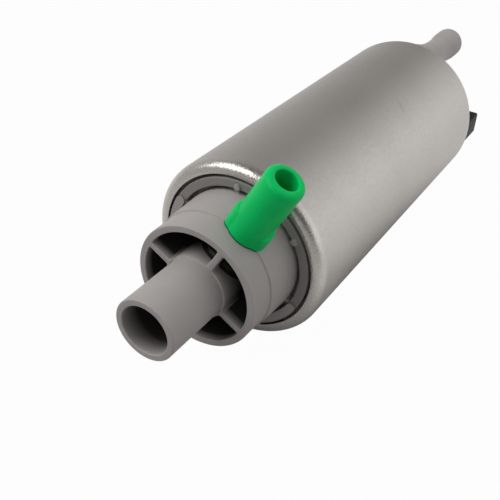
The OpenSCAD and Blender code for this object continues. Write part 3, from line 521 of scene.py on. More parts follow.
def faint_scuff(tree, coords):
    """Mask of a faint slanting scuff on the case, on the side towards the connector."""
    along_pump, turn, slant = 9.8 * MM, clock(math.radians(34.8)), math.radians(28.5)
    half_length, half_width, strength = 2.9 * MM, 0.9 * MM, 0.2
    middle = turn @ Vector((along_pump, 0, CASE_HIGH.z))
    lengthwise = turn @ Vector((-math.sin(slant), -math.cos(slant), 0))
    crosswise = turn @ Vector((math.cos(slant), -math.sin(slant), 0))
    offset = add(tree, "ShaderNodeVectorMath", {0: (coords, "Object"), 1: middle}, operation="SUBTRACT")
    down = add(tree, "ShaderNodeVectorMath", {0: (offset, 0), 1: lengthwise / half_length},
               operation="DOT_PRODUCT")
    over = add(tree, "ShaderNodeVectorMath", {0: (offset, 0), 1: crosswise / half_width},
               operation="DOT_PRODUCT")
    flat = add(tree, "ShaderNodeCombineXYZ", {0: (down, 1), 1: (over, 1)})
    reach = add(tree, "ShaderNodeVectorMath", {0: (flat, 0)}, operation="LENGTH")
    return add(tree, "ShaderNodeMapRange", {"Value": (reach, 1), "To Min": strength, "To Max": 0.0})


def grey_moulding(tint):
    """Grey acetal, moulded: matt and even, with a faint warm cloudiness."""
    material, tree, shader, coords = start("moulded_grey_acetal", Specular_IOR_Level=0.4)
    cloud = speckle(tree, coords, 4 * MM, 0, 1, detail=4)
    red, green, blue = shade(tint, 0.96)
    tinted(tree, shader, (cloud, 0), (red * 1.02, green * 0.985, blue * 0.99), shade(tint, 1.04))
    rough(tree, shader, coords, 1.2 * MM, 0.5, 0.62)
    grit(tree, shader, coords, 0.14 * MM, 0.006 * MM)
    return material


def green_moulding(tint):
    """Green acetal, moulded: saturated, half gloss, with a little light passing into it."""
    material, tree, shader, coords = start("moulded_green_acetal", Specular_IOR_Level=0.1,
                                           Subsurface_Weight=0.1, Subsurface_Scale=0.6 * MM,
                                           Subsurface_Radius=(0.05, 1.0, 0.4))
    clouded(tree, shader, coords, tint, 2.5 * MM, contrast=0.06, detail=3)
    rough(tree, shader, coords, 0.8 * MM, 0.32, 0.44)
    grit(tree, shader, coords, 0.5 * MM, 0.01 * MM)
    return material


def black_moulding(tint):
    """Black nylon, moulded: matt, with hardly any sheen."""
    return moulded("moulded_black_nylon", tint, roughness=0.55, grain=0.15 * MM, Specular_IOR_Level=0.12)


# A dark band lies between two radii, starts at a place along the pump and gets darkest over a depth from
# there
DarkBand = namedtuple("DarkBand", "inner outer start depth darkness")


def darkened_bands(material, dark_bands):
    """Darkens bands towards their floors, as painted shade in hollows and seams, and takes their sheen away
    where they are dark.
    """
    tree = material.node_tree
    shader = tree.nodes["Principled BSDF"]
    coords = add(tree, "ShaderNodeTexCoord")
    along = add(tree, "ShaderNodeSeparateXYZ", {0: (coords, "Object")})
    inlet_half = add(tree, "ShaderNodeMath", {0: (along, 0), 1: 0.0}, operation="LESS_THAN")
    radius = axis_distance(tree, (coords, "Object"), Vector((1, 0, 0)))
    dark = 0.0
    for dark_band in dark_bands:
        beyond = add(tree, "ShaderNodeMath", {0: radius, 1: dark_band.inner}, operation="GREATER_THAN")
        within = add(tree, "ShaderNodeMath", {0: radius, 1: dark_band.outer}, operation="LESS_THAN")
        grown = add(tree, "ShaderNodeMapRange", {"Value": (along, 0), "From Min": dark_band.start,
                                                 "From Max": dark_band.start + dark_band.depth,
                                                 "To Max": dark_band.darkness})
        mask = beyond
        for limit in (within, grown, inlet_half):
            mask = add(tree, "ShaderNodeMath", {0: (mask, 0), 1: (limit, 0)}, operation="MULTIPLY")
        dark = (add(tree, "ShaderNodeMath", {0: dark, 1: (mask, 0)}, operation="MAXIMUM"), 0)
    # the bands turn towards near black; in hollows and seams this is painted shade
    covered(tree, shader, dark, linear("#0d0c0b"))
    sheen = shader.inputs["Specular IOR Level"]
    dulled = add(tree, "ShaderNodeMapRange", {"Value": dark, "From Max": 0.8, "To Min": sheen.default_value,
                                              "To Max": 0.0})
    tree.links.new(dulled.outputs[0], sheen)
    return material


def axis_distance(tree, place, axis):
    """Distance of a place from an axis through the origin."""
    across = add(tree, "ShaderNodeVectorMath", {0: place, 1: axis}, operation="CROSS_PRODUCT")
    return add(tree, "ShaderNodeVectorMath", {0: (across, 0)}, operation="LENGTH"), 1


def pocket_shade(sizes):
    """Painted shade in the pockets between tube and skirt: it grows slowly along the tube and quickly along
    the skirt and ribs.
    """
    mouth, split = CASE_LOW.x - sizes.skirt_reach, sizes.tube_radius + 0.95 * MM
    inside = sizes.skirt_radius - sizes.skirt_wall
    # painted shade, darkest deep in the pockets
    return [DarkBand(sizes.tube_radius + 0.36 * MM, split, mouth + 0.5 * MM, 6 * MM, 0.93),
            DarkBand(split, inside + 0.3 * MM, mouth + 0.1 * MM, 2.2 * MM, 0.93)]


def cover_dark_bands(sizes):
    """Dark bands of the inlet cover: painted shade in its pockets and deep in its bore, and a faint even
    darkening of the raised ring.
    """
    # painted shade deep in the tube's bore
    bore = DarkBand(0.0, sizes.tube_bore + 0.05 * MM, INLET_LOW.x + 0.2 * MM, 4.5 * MM, 0.9)
    # the raised ring made evenly a little darker, with less sheen
    ring = DarkBand(sizes.skirt_radius + 1.2 * MM, 18.4 * MM, CASE_LOW.x - 0.3 * MM, 0.1 * MM, 0.3)
    return pocket_shade(sizes) + [bore, ring]


def nozzle_painted_shade(sizes):
    """Painted shade of the nozzle: the pockets' on its spigot, and a dark seam of painted shade where its
    foot sits on the skirt.
    """
    # painted shade of the narrow gap at the nozzle's foot
    seam = DarkBand(sizes.skirt_radius - 0.3 * MM, sizes.skirt_radius + 0.36 * MM, INLET_LOW.x, 0.1 * MM, 0.85)
    return pocket_shade(sizes) + [seam]


def shaded_socket(material, sizes):
    """Darkens the underside of the nozzle's socket, deep between the ribs, where little light gets in."""
    tree = material.node_tree
    coords = add(tree, "ShaderNodeTexCoord")
    foot = (CASE_LOW.x - sizes.nozzle_set, 0, 0)
    from_foot = add(tree, "ShaderNodeVectorMath", {0: (coords, "Object"), 1: foot}, operation="SUBTRACT")
    nozzle_axis = clock(sizes.nozzle_clock) @ Vector((0, 0, 1))
    from_nozzle = axis_distance(tree, (from_foot, 0), nozzle_axis)
    from_pump = axis_distance(tree, (from_foot, 0), Vector((1, 0, 0)))
    above_tube, inside = sizes.tube_radius + 0.37 * MM, sizes.skirt_radius - sizes.skirt_wall
    reach, darkness = 5.9 * MM, 0.9
    near = add(tree, "ShaderNodeMath", {0: from_nozzle, 1: reach}, operation="LESS_THAN")
    above = add(tree, "ShaderNodeMath", {0: from_pump, 1: above_tube}, operation="GREATER_THAN")
    below = add(tree, "ShaderNodeMath", {0: from_pump, 1: inside}, operation="LESS_THAN")
    mask = add(tree, "ShaderNodeMath", {0: (near, 0), 1: darkness}, operation="MULTIPLY")
    for limit in (above, below):
        mask = add(tree, "ShaderNodeMath", {0: (mask, 0), 1: (limit, 0)}, operation="MULTIPLY")
    covered(tree, tree.nodes["Principled BSDF"], (mask, 0), linear("#0a120d"))


# Pieces

# clearance of each cover in the case, and how much the skirt's root widens towards the case
COVER_FIT = 0.1 * MM
ROOT_DRAFT = 0.3 * MM


def build_case(sizes, finish):
    """Rolled steel tube, drawn as one turned outline with a crease where each roll meets its lip."""
    end, wall, roll = CASE_HIGH.x, sizes.case_wall, sizes.roll_radius
    crease = sizes.case_radius - roll
    lip, sink, soft = crease - sizes.lip_flat, 0.1 * MM, 0.05 * MM
    face, inner_face, steps, past_front = end - sink, end - wall, 14, math.radians(12)
    centre = Vector((end - roll, crease))
    half = arc(centre, roll, 0, math.radians(90) + past_front, steps)
    half += [Vector((face, crease)), Vector((face, lip + 2 * soft)), Vector((face - 2 * soft, lip)),
             Vector((inner_face + soft, lip)), Vector((inner_face, lip + soft)), Vector((inner_face, crease))]
    half += arc(centre, roll - wall, math.radians(90), 0, steps // 2)[1:]
    mirrored = [Vector((-along, radius)) for along, radius in reversed(half)]
    path = held(mirrored + half, gap=0.3 * MM)
    make("case_shell", [turned(path, 256)], finish, ["case"], crease=40)


def inside_case(sizes):
    """Radius of a cover that fits inside the case."""
    return sizes.case_radius - sizes.case_wall - COVER_FIT


def inside_lip(sizes):
    """Radius of the opening that the lip of a rolled end leaves."""
    return sizes.case_radius - sizes.roll_radius - sizes.lip_flat


def inlet_places(sizes):
    """Radii and places along the pump that the inlet cover's forms share."""
    end, ring_outer = CASE_LOW.x, inside_lip(sizes) - sizes.ring_gap
    return SimpleNamespace(
        end=end, seat=end + sizes.case_wall, rim=end - sizes.skirt_reach, floor=end + 2.2 * MM,
        hub=sizes.tube_radius + sizes.hub_step, inside=sizes.skirt_radius - sizes.skirt_wall,
        root=end - sizes.root_length, root_radius=sizes.skirt_radius + sizes.root_step,
        root_end=sizes.skirt_radius + sizes.root_step + ROOT_DRAFT,
        ring_outer=ring_outer, ring_inner=ring_outer - sizes.ring_width, ring_front=end + 0.15 * MM)


def inlet_body(sizes, at):
    """Turned body of the inlet cover: tube, pocket, skirt, root, groove, ring and flange."""
    step, edge, gentle, bore_end = 0.12 * MM, 0.3 * MM, 0.6 * MM, at.floor + 2 * MM
    groove, gap_floor = at.end + 2.5 * MM, at.seat + 1.3 * MM
    gap_outer, flange = at.ring_outer + sizes.ring_gap + 0.35 * MM, inside_case(sizes)
    corner, back, hollow = sizes.roll_radius - sizes.case_wall, INLET_HIGH.x, at.ring_inner + 0.3 * MM
    path = rounded([
        (bore_end, sizes.tube_bore, 0), (INLET_LOW.x, sizes.tube_bore, 0.25 * MM),
        (INLET_LOW.x, sizes.tube_radius, edge), (at.rim + step, sizes.tube_radius, 0.1 * MM),
        (at.rim + step, at.hub, 0.12 * MM), (at.floor, at.hub + 0.25 * MM, gentle),
        (at.floor, at.inside - 0.1 * MM, gentle), (at.rim, at.inside, 0.22 * MM),
        (at.rim, sizes.skirt_radius, edge), (at.root, sizes.skirt_radius, 0.1 * MM),
        (at.root + step, at.root_radius, 0.12 * MM), (at.end, at.root_end, 0),
        (groove, at.root_end, 0.2 * MM), (groove, at.ring_inner, 0.2 * MM),
        (at.ring_front, at.ring_inner, 0.22 * MM), (at.ring_front, at.ring_outer, 0.32 * MM),
        (gap_floor, at.ring_outer, 0), (gap_floor, gap_outer, 0), (at.seat, gap_outer, 0),
        (at.seat, flange - corner, 0), (at.seat + corner, flange, 0), (back, flange, 0), (back, hollow, 0),
        (bore_end, hollow, 0)])
    return turned(path, 192)


def rib(half, inner, outer, front, back):
    """Rib between two walls, flared into both, with a soft front edge."""
    spread, sunk, steps = 0.5 * MM, 0.2 * MM, 4
    stations = [(inner, spread)]
    for k in range(steps + 1):
        distance = spread * k / steps
        extra = spread - math.sqrt(spread ** 2 - (spread - distance) ** 2)
        stations.append((inner + sunk + distance, extra))
    stations += [(inner + outer - out, extra) for out, extra in reversed(stations)]
    rings = []
    for x, inset in soft_edge(front, back, 0.22 * MM):
        side = [Vector((x, half + extra - inset, out)) for out, extra in stations]
        other = [Vector((x, -half - extra + inset, out)) for out, extra in reversed(stations)]
        rings.append(side + other)
    return lofted(rings)


def bridge(half, inner, outer, front, back):
    """Small web from the skirt's root to the ring."""
    rings = []
    for x, inset in soft_edge(front, back, 0.12 * MM):
        side = half - inset
        rings.append([Vector((x, side, inner)), Vector((x, side, outer)), Vector((x, -side, outer)),
                      Vector((x, -side, inner))])
    return lofted(rings)


def ring_pad(x0, x1, radius, width, start_angle, end_angle):
    """Raised pad that follows the ring between two clock angles, with round ends and soft edges."""
    half, steps, end_steps = width / 2, 60, 10

    def at(distance, angle, turn):
        return clock(angle) @ Vector((0, 0, radius)) + clock(angle + turn) @ Vector((0, 0, distance))

    def side(distance, first, last):
        return [at(distance, first + (last - first) * k / steps, 0) for k in range(steps + 1)]

    def round_end(angle, turn):
        return [at(half, angle, turn + math.pi * k / end_steps) for k in range(1, end_steps)]

    outline = side(half, start_angle, end_angle) + round_end(end_angle, 0)
    outline += side(-half, end_angle, start_angle) + round_end(start_angle, math.pi)
    rings = []
    for x, inset in soft_edge(x0, x1, 0.16 * MM):
        ring = []
        for i, point in enumerate(outline):
            tangent = (outline[(i + 1) % len(outline)] - outline[i - 1]).normalized()
            inwards = Vector((1, 0, 0)).cross(tangent)
            ring.append(point - inwards * inset + Vector((x, 0, 0)))
        rings.append(ring)
    return lofted(rings)


def nozzle_socket(sizes, at):
    """Socket of the nozzle between tube and skirt, and the channel from it into the cover."""
    neck, foot, sunk = 4.5 * MM, 5.2 * MM, 0.3 * MM
    channel, channel_foot = 3 * MM, 3.6 * MM
    nozzle_x = at.end - sizes.nozzle_set
    socket = rounded([(at.hub - 0.4 * MM, 0, 0), (at.hub - 0.4 * MM, foot, 0),
                      (at.hub + 0.5 * MM, neck, 0.6 * MM), (at.inside - 0.6 * MM, neck, 0.6 * MM),
                      (at.inside + sunk, foot, 0), (at.inside + sunk, 0, 0)])
    feed = rounded([(nozzle_x, 0, 0), (nozzle_x, channel, 0), (at.floor - 0.5 * MM, channel, 0.4 * MM),
                    (at.floor + sunk, channel_foot, 0), (at.floor + sunk, 0, 0)])
    over_hub = shifted(0, 0, at.hub + channel + sunk)
    return [turned(socket, 48, upright(nozzle_x, sizes.nozzle_clock)),
            turned(feed, 48, clock(sizes.nozzle_clock) @ over_hub)]


def build_inlet_cover(sizes, finish):
    """Moulded inlet cover: turned body, ribs, the ring's bridges, pips and pad, and the nozzle's socket."""
    at = inlet_places(sizes)
    shapes = [inlet_body(sizes, at)]
    sunk = 0.2 * MM
    for k in range(sizes.rib_count):
        angle = sizes.nozzle_clock + math.tau * k / sizes.rib_count
        shape = rib(sizes.rib_thickness / 2, at.hub - sunk, at.inside + sunk, at.rim, at.floor + 0.3 * MM)
        shapes.append(moved(shape, clock(angle)))
    sixth, half_bridge, bridge_sunk = math.radians(60), 0.35 * MM, 0.3 * MM
    for k in range(6):
        shape = bridge(half_bridge, at.root_end - bridge_sunk, at.ring_inner + bridge_sunk,
                       at.ring_front + 0.1 * MM, at.end + 2.8 * MM)
        shapes.append(moved(shape, clock(sizes.nozzle_clock + sixth * (k + 0.5))))
    raised, pip_radius = at.ring_front - 0.45 * MM, 0.85 * MM
    pip = rounded([(at.ring_front + 0.5 * MM, 0, 0), (raised, 0, 0), (raised, pip_radius, 0.4 * MM),
                   (at.ring_front + 0.5 * MM, pip_radius + 0.05 * MM, 0)])
    for side in (-1, 1):
        place = clock(sizes.nozzle_clock + side * sixth / 2) @ shifted(0, 0, at.ring_inner + 0.55 * MM)
        shapes.append(turned(pip, 32, place))
    shapes.append(ring_pad(raised, at.ring_front + 0.4 * MM, (at.ring_inner + at.ring_outer) / 2,
                           sizes.ring_width - 0.4 * MM, sizes.nozzle_clock + math.radians(90),
                           sizes.nozzle_clock + math.radians(270)))
    shapes += nozzle_socket(sizes, at)
    make("inlet_moulding", shapes, finish, ["inlet_cover"])


# Heights over the pump's axis of the rings that make the nozzle's barrel, in millimetres. They lie closer
# together where the two ears round off.
BARREL_LEVELS = (13.2, 13.8, 14.4, 15, 15.6, 16.2, 16.7, 17.0, 17.2, 17.35, 17.45, 17.55, 17.6, 17.62, 17.7,
                 17.8, 17.95, 18.1, 18.3, 18.5, 18.7, 18.9, 19.05, 19.2, 19.3, 19.36, 19.4, 19.45, 19.6, 19.9,
                 20.4, 21.5, 23, 25, 27, 29)


def skirt_height(sizes, x, side):
    """Height over the pump's axis of the skirt or its root under a spot of the nozzle's foot."""
    past_root = x + sizes.root_length - sizes.nozzle_set
    radius = sizes.skirt_radius
    if past_root >= -0.05 * MM:
        radius += sizes.root_step + ROOT_DRAFT * past_root / sizes.root_length
    clear = 0.07 * MM
    return math.sqrt(max((radius + clear) ** 2 - side * side, 0))


def ear_swell(height, x, side):
    """How far an ear swells the barrel: the upper one on one side, the lower with a notch over it."""
    upper = side > 0
    top, soft, middle = (19.4 * MM, 1.3 * MM, 0) if upper else (17.6 * MM, 0.3 * MM, 0.6 * MM)
    half_width, reach, swell, notch, notch_height = 3.2 * MM, 2.2 * MM, 0.65 * MM, 0.16 * MM, 0.35 * MM
    window = max(0, 1 - (abs(x - middle) / half_width) ** 4) * min(abs(side) / reach, 1) ** 2
    rise = min(max((top - height) / soft, 0), 1)
    swollen = swell * math.sqrt(1 - (1 - rise) ** 2)
    if not upper:
        swollen -= notch * math.exp(-((height - top - notch_height) / notch_height) ** 2)
    return swollen * window


def nozzle_ring(sizes, radius, level, swollen=False, lift=0):
    """One ring of the nozzle's skin. It rests on the skirt where that stands over its level."""
    points, around, foot = [], 96, Vector((CASE_LOW.x - sizes.nozzle_set, 0, 0))
    for k in range(around):
        angle = math.tau * k / around
        x, side = radius * math.cos(angle), radius * math.sin(angle)
        if swollen:
            spread = 1 + ear_swell(max(level, skirt_height(sizes, x, side)), x, side) / radius
            x, side = spread * x, spread * side
        height = max(level, skirt_height(sizes, x, side)) + lift
        points.append(clock(sizes.nozzle_clock) @ (foot + Vector((x, side, height))))
    return points


def nozzle_barrel(sizes):
    """Barrel of the nozzle: a skin of rings from its foot over the round lip and down the bore."""
    outer, bore, tip = sizes.nozzle_radius, sizes.nozzle_bore, sizes.nozzle_reach
    lip, soft, lip_steps, soft_steps = 1.2 * MM, 0.3 * MM, 7, 5
    levels = [level * MM for level in BARREL_LEVELS] + [tip - lip]
    rings = [nozzle_ring(sizes, outer, level, swollen=True) for level in levels]
    for k in range(1, lip_steps + 1):
        angle = math.pi / 2 * k / lip_steps
        radius = outer - lip + lip * math.cos(angle)
        rings.append(nozzle_ring(sizes, radius, tip - lip + lip * math.sin(angle)))
    for k in range(soft_steps + 1):
        angle = math.pi / 2 * k / soft_steps
        radius = bore + soft - soft * math.sin(angle)
        rings.append(nozzle_ring(sizes, radius, tip - soft + soft * math.cos(angle)))
    rings += [nozzle_ring(sizes, bore, level) for level in (tip - 1 * MM, 18 * MM, 15.2 * MM)]
    rings.append(nozzle_ring(sizes, bore + soft, 0, lift=0.02 * MM))
    return lofted(rings, closed=True)


def build_nozzle(sizes, finish):
    """Side nozzle: a barrel with two ears that sits on the skirt, and a spigot and sleeve in its socket."""
    place = upright(CASE_LOW.x - sizes.nozzle_set, sizes.nozzle_clock)
    bore, collar = sizes.nozzle_bore, sizes.skirt_radius - sizes.skirt_wall - 1.1 * MM
    spigot_top, sleeve_low, sleeve_top = 15 * MM, 8.2 * MM, collar + 0.5 * MM
    sleeve_inner, sleeve_outer = 4.4 * MM, 4.62 * MM
    spigot = rounded([(collar, bore, 0), (collar, 4.75 * MM, 0.3 * MM),
                      (collar + 0.9 * MM, 5.3 * MM, 0.2 * MM), (spigot_top, 3.3 * MM, 0),
                      (spigot_top, bore, 0)])
    sleeve = rounded([(sleeve_low, sleeve_inner, 0), (sleeve_low, sleeve_outer, 0.1 * MM),
                      (sleeve_top, sleeve_outer, 0), (sleeve_top, sleeve_inner, 0)])
    shapes = [nozzle_barrel(sizes), turned(spigot, 64, place), turned(sleeve, 64, place)]
    make("green_nozzle", shapes, finish, ["side_nozzle"], crease=50)


def outlet_nipple(sizes, face):
    """Outlet nipple: a small foot, a flare that narrows to the stem, and a soft bead at the end."""
    tip, bore, stem, boss = OUTLET_HIGH.x, sizes.nipple_bore, sizes.nipple_radius, sizes.boss_radius
    sunk, foot, foot_steps = face - 0.6 * MM, 0.5 * MM, 4
    flare_start, flare_length, flare_steps = CASE_HIGH.x + 7.4 * MM, 16.6 * MM, 24
    path = [Vector((sunk, bore)), Vector((sunk, boss + foot))]
    foot_centre = Vector((face - 0.35 * MM + foot, boss + foot))
    path += arc(foot_centre, foot, math.radians(-90), math.radians(-180), foot_steps)
    for k in range(flare_steps + 1):
        share = k / flare_steps
        path.append(Vector((flare_start + flare_length * share, stem + (boss - stem) * (1 - share) ** 2)))
    bead = rounded([(tip - 8.9 * MM, stem, 0), (tip - 4.9 * MM, sizes.bead_radius, 1.5 * MM),
                    (tip, sizes.bead_radius, 1.05 * MM), (tip, bore, 0.35 * MM)], steps=8)
    # its last three points lead back to its own start, and are left out
    path += bead[:-3] + [Vector((tip - 2 * MM, bore))]
    return turned(path, 96, shifted(0, 0, sizes.nipple_set))


def build_outlet_cover(sizes, finish):
    """Moulded outlet cover: disc, flared nipple with its bead, and the relief valve's boss."""
    seat, face = CASE_HIGH.x - sizes.case_wall, CASE_HIGH.x - 0.1 * MM
    disc, body, back = inside_lip(sizes) - 0.3 * MM, inside_case(sizes), seat - 7.2 * MM
    hollow, plate, corner = body - 2.1 * MM, seat - 3.5 * MM, sizes.roll_radius - sizes.case_wall
    dished = face - 0.35 * MM
    path = rounded([
        (plate, 0, 0), (plate, hollow, 0), (back, hollow, 0), (back, body, 0), (seat - corner, body, 0),
        (seat, body - corner, 0), (seat, disc, 0), (face, disc, 0.3 * MM), (face, disc - 1.3 * MM, 0.1 * MM),
        (dished, disc - 1.6 * MM, 0.15 * MM), (dished, 0, 0)])
    relief_bore, relief, relief_tip, sunk = 2.45 * MM, 3.95 * MM, CASE_HIGH.x + 4.2 * MM, face - 0.6 * MM
    boss = rounded([(sunk, relief_bore, 0), (sunk, relief + 0.65 * MM, 0),
                    (face - 0.3 * MM, relief + 0.45 * MM, 0), (face + 0.1 * MM, relief, 0.3 * MM),
                    (relief_tip, relief, 0.35 * MM), (relief_tip, relief_bore, 0.15 * MM)])
    beside_nipple = shifted(0, sizes.nipple_set, 1.4 * MM)
    shapes = [turned(path, 192), outlet_nipple(sizes, face), turned(boss, 64, beside_nipple)]
    make("outlet_moulding", shapes, finish, ["outlet_cover"])


def box_ring(x, low, high, rounding, steps=4):
    """Rounded rectangle in Y and Z at a place along the pump."""
    points = []
    middle = (low + high) / 2
    corners = [(high.y, high.z, 0), (low.y, high.z, 90), (low.y, low.z, 180), (high.y, low.z, 270)]
    for y, z, turn in corners:
        centre = Vector((x, y - math.copysign(rounding, y - middle.y),
                         z - math.copysign(rounding, z - middle.z)))
        for k in range(steps + 1):
            angle = math.radians(turn + 90 * k / steps)
            points.append(centre + Vector((0, rounding * math.cos(angle), rounding * math.sin(angle))))
    return points


def build_connector(sizes, finish):
    """Black connector: a shroud with a cavity round the blades, and two guide ribs."""
    back, mouth = CASE_HIGH.x + 0.3 * MM, SHROUD_HIGH.x
    wall, edge, corner, inner_corner = sizes.shroud_wall, 0.25 * MM, 0.6 * MM, 0.25 * MM

    def section(x, inset, rounding):
        shrink = Vector((0, inset, inset))
        return box_ring(x, SHROUD_LOW + shrink, SHROUD_HIGH - shrink, rounding)

    rings = [section(back + 0.15 * MM, 0.15 * MM, corner - 0.1 * MM), section(back + 0.3 * MM, 0, corner),
             section(mouth - edge, 0, corner)]
    for k in range(1, 5):
        angle = math.pi / 2 * k / 4
        inset = edge * (1 - math.cos(angle))
        rings.append(section(mouth - edge + edge * math.sin(angle), inset, corner - inset))
    rings += [section(mouth, 0.8 * wall, 0.35 * MM), section(mouth - edge, wall, inner_corner),
              section(back + 1.3 * MM, wall, inner_corner)]
    shapes = [lofted(rings)]
    half_rib, from_side, sunk = 0.4 * MM, 4.2 * MM, 0.3 * MM
    ends = (back + 1.2 * MM, mouth - 1.2 * MM)
    for y in (SHROUD_LOW.y + from_side, SHROUD_HIGH.y - from_side):
        low = Vector((0, y - half_rib, SHROUD_HIGH.z - wall - 0.5 * MM))
        high = Vector((0, y + half_rib, SHROUD_HIGH.z - sunk))
        shapes.append(lofted([box_ring(x, low, high, 0.15 * MM) for x in ends]))
    make("connector_shroud", shapes, finish, ["connector_housing"])


def dress_inner_parts(finishes):
    """Gives each CAD node that stays shown the finish of its slot."""
    slots = {part["node"]: part["material_slot"] for part in frame["record"]["subparts"]}
    for name, node in frame["nodes"].items():
        if node.hide_render:
            continue
        finish = finishes[slots[name]]
        for place in node.material_slots:
            place.material = finish
        if not node.material_slots:
            node.data.materials.append(finish)


# Stage


def white_paper():
    """Uncoated white paper: matt and even, and bright enough by itself to give the photograph's ground.

    As the pump's gloss sees it, its glow is dimmed close under the pump and towards the inlet end: painted
    shadow and painted shade in the reflection.
    """
    material, tree, paper, coords = start("white_paper", Roughness=0.9, Base_Color=(*linear("#a0a0a0"), 1))
    rays = add(tree, "ShaderNodeLightPath")
    seen = add(tree, "ShaderNodeMath", {0: (rays, "Is Camera Ray"), 1: (rays, "Is Glossy Ray")},
               operation="MAXIMUM")
    seen = add(tree, "ShaderNodeMath", {0: (seen, 0), 1: (rays, "Is Transmission Ray")}, operation="MAXIMUM")
    under_pump, half_length, half_width = (-8 * MM, 0, 0), 70 * MM, 45 * MM
    offset = add(tree, "ShaderNodeVectorMath", {0: (coords, "Object"), 1: under_pump}, operation="SUBTRACT")
    offset = add(tree, "ShaderNodeVectorMath", {0: (offset, 0), 1: (1 / half_length, 1 / half_width, 0)},
                 operation="MULTIPLY")
    away = add(tree, "ShaderNodeVectorMath", {0: (offset, 0)}, operation="LENGTH")
    # painted shadow in the reflection: the glow that gloss sees falls to a tenth close under the pump
    clear = add(tree, "ShaderNodeMapRange", {"Value": (away, 1), "From Min": 0.5, "From Max": 1.3,
                                             "To Min": 0.1, "To Max": 0.95})
    along = add(tree, "ShaderNodeSeparateXYZ", {0: (coords, "Object")})
    # painted shade in the reflection towards the inlet end
    inlet_end = add(tree, "ShaderNodeMapRange", {"Value": (along, 0), "From Min": -110 * MM,
                                                 "From Max": -60 * MM, "To Min": 0.62, "To Max": 1.0})
    glow_with_painted_shade = add(tree, "ShaderNodeMath", {0: (clear, 0), 1: (inlet_end, 0)}, operation="MULTIPLY")
    strength = add(tree, "ShaderNodeMix", {0: (rays, "Is Glossy Ray"), 2: 1.0, 3: (glow_with_painted_shade, 0)})
    glow = add(tree, "ShaderNodeEmission", {"Strength": (strength, 0)})
    # the last 3 percent is plain paper, on which the shadow falls
    share = add(tree, "ShaderNodeMath", {0: (seen, 0), 1: 0.97}, operation="MULTIPLY")
    mix = add(tree, "ShaderNodeMixShader", {0: (share, 0), 1: (paper, 0), 2: (glow, 0)})
    tree.links.new(mix.outputs[0], tree.nodes["Material Output"].inputs["Surface"])
    return material


def build_floor():
    """Wide floor that the case lies on."""
    half, level = 3.0, CASE_LOW.z
    mesh = bpy.data.meshes.new("floor")
    corners = [(-half, -half, level), (half, -half, level), (half, half, level), (-half, half, level)]
    mesh.from_pydata(corners, [], [(0, 1, 2, 3)])
    mesh.materials.append(white_paper())
    floor = bpy.data.objects.new("floor", mesh)
    bpy.context.scene.collection.objects.link(floor)


def build_room():
    """Pale room round the pump.

    Straight on it is white, matt surfaces get light from its ceiling, and gloss sees its dark and pale sides.
    """
    world = bpy.data.worlds.new("studio")
    bpy.context.scene.world = world
    world.use_nodes = True
    tree = world.node_tree
    sky = tree.nodes["Background"]
    sky.inputs["Color"].default_value = (1, 1, 1, 1)
    rays = add(tree, "ShaderNodeLightPath")
    seen = add(tree, "ShaderNodeMath", {0: (rays, "Is Camera Ray"), 1: (rays, "Is Transmission Ray")},
               operation="MAXIMUM")
    coords = add(tree, "ShaderNodeTexCoord")
    place = add(tree, "ShaderNodeSeparateXYZ", {0: (coords, "Generated")})
    overhead = add(tree, "ShaderNodeMapRange", {"Value": (place, 2), "From Min": 0.3, "From Max": 0.9,
                                                "To Min": 1.05, "To Max": 0.7})
    far_side = add(tree, "ShaderNodeMapRange", {"Value": (place, 1), "From Min": -0.68, "From Max": 0.12,
                                                "To Min": 1.34, "To Max": 0.36})
    near_side = add(tree, "ShaderNodeMapRange", {"Value": (place, 1), "From Min": 0.15, "From Max": 0.7,
                                                 "To Min": 0.35, "To Max": 0.71})
    sides = add(tree, "ShaderNodeMath", {0: (near_side, 0), 1: (far_side, 0)}, operation="MAXIMUM")
    # the end that the inlet faces is dimmer, and a dark patch lies beside the camera
    inlet_end = add(tree, "ShaderNodeMapRange", {"Value": (place, 0), "From Min": -0.7, "From Max": 0.4,
                                                 "To Min": 0.68, "To Max": 1.0})
    towards = add(tree, "ShaderNodeVectorMath", {0: (coords, "Generated"), 1: (-0.71, -0.57, 0.41)},
                  operation="DOT_PRODUCT")
    patch = add(tree, "ShaderNodeMapRange", {"Value": (towards, 1), "From Min": 0.8, "From Max": 0.96,
                                             "To Min": 1.0, "To Max": 0.2})
    mirrored = overhead
    for part in (sides, inlet_end, patch):
        mirrored = add(tree, "ShaderNodeMath", {0: (mirrored, 0), 1: (part, 0)}, operation="MULTIPLY")
    ceiling = add(tree, "ShaderNodeMapRange", {"Value": (place, 2), "To Min": 0.12, "To Max": 0.85})
    room = add(tree, "ShaderNodeMix", {0: (rays, "Is Diffuse Ray"), 2: (mirrored, 0), 3: (ceiling, 0)})
    strength = add(tree, "ShaderNodeMix", {0: (seen, 0), 2: (room, 0), 3: 0.98})
    tree.links.new(strength.outputs[0], sky.inputs["Strength"])


def lamp(name, place, size, power):
    """Square softbox that faces the pump."""
    light = bpy.data.lights.new(name, "AREA")
    light.shape, light.size, light.energy = "SQUARE", size, power
    holder = bpy.data.objects.new(name, light)
    bpy.context.scene.collection.objects.link(holder)
    holder.location = place
    holder.rotation_euler = (-Vector(place)).to_track_quat("-Z", "Y").to_euler()
    return holder


def build_lamps(share):
    """One softbox for the streak on steel and gloss, and two fills that light matt surfaces alone."""
    streak = lamp("left_softbox", (-0.49, 0.37, 0.42), 0.46, 2.4 * share)
    streak.visible_diffuse = False
    left = lamp("left_fill", (-0.3, 0.45, 0.5), 0.5, 3.15 * share)
    left.visible_glossy = False
    right = lamp("right_softbox", (0.2, -0.7, 0.3), 1.0, 1.6 * share)
    right.visible_glossy = False


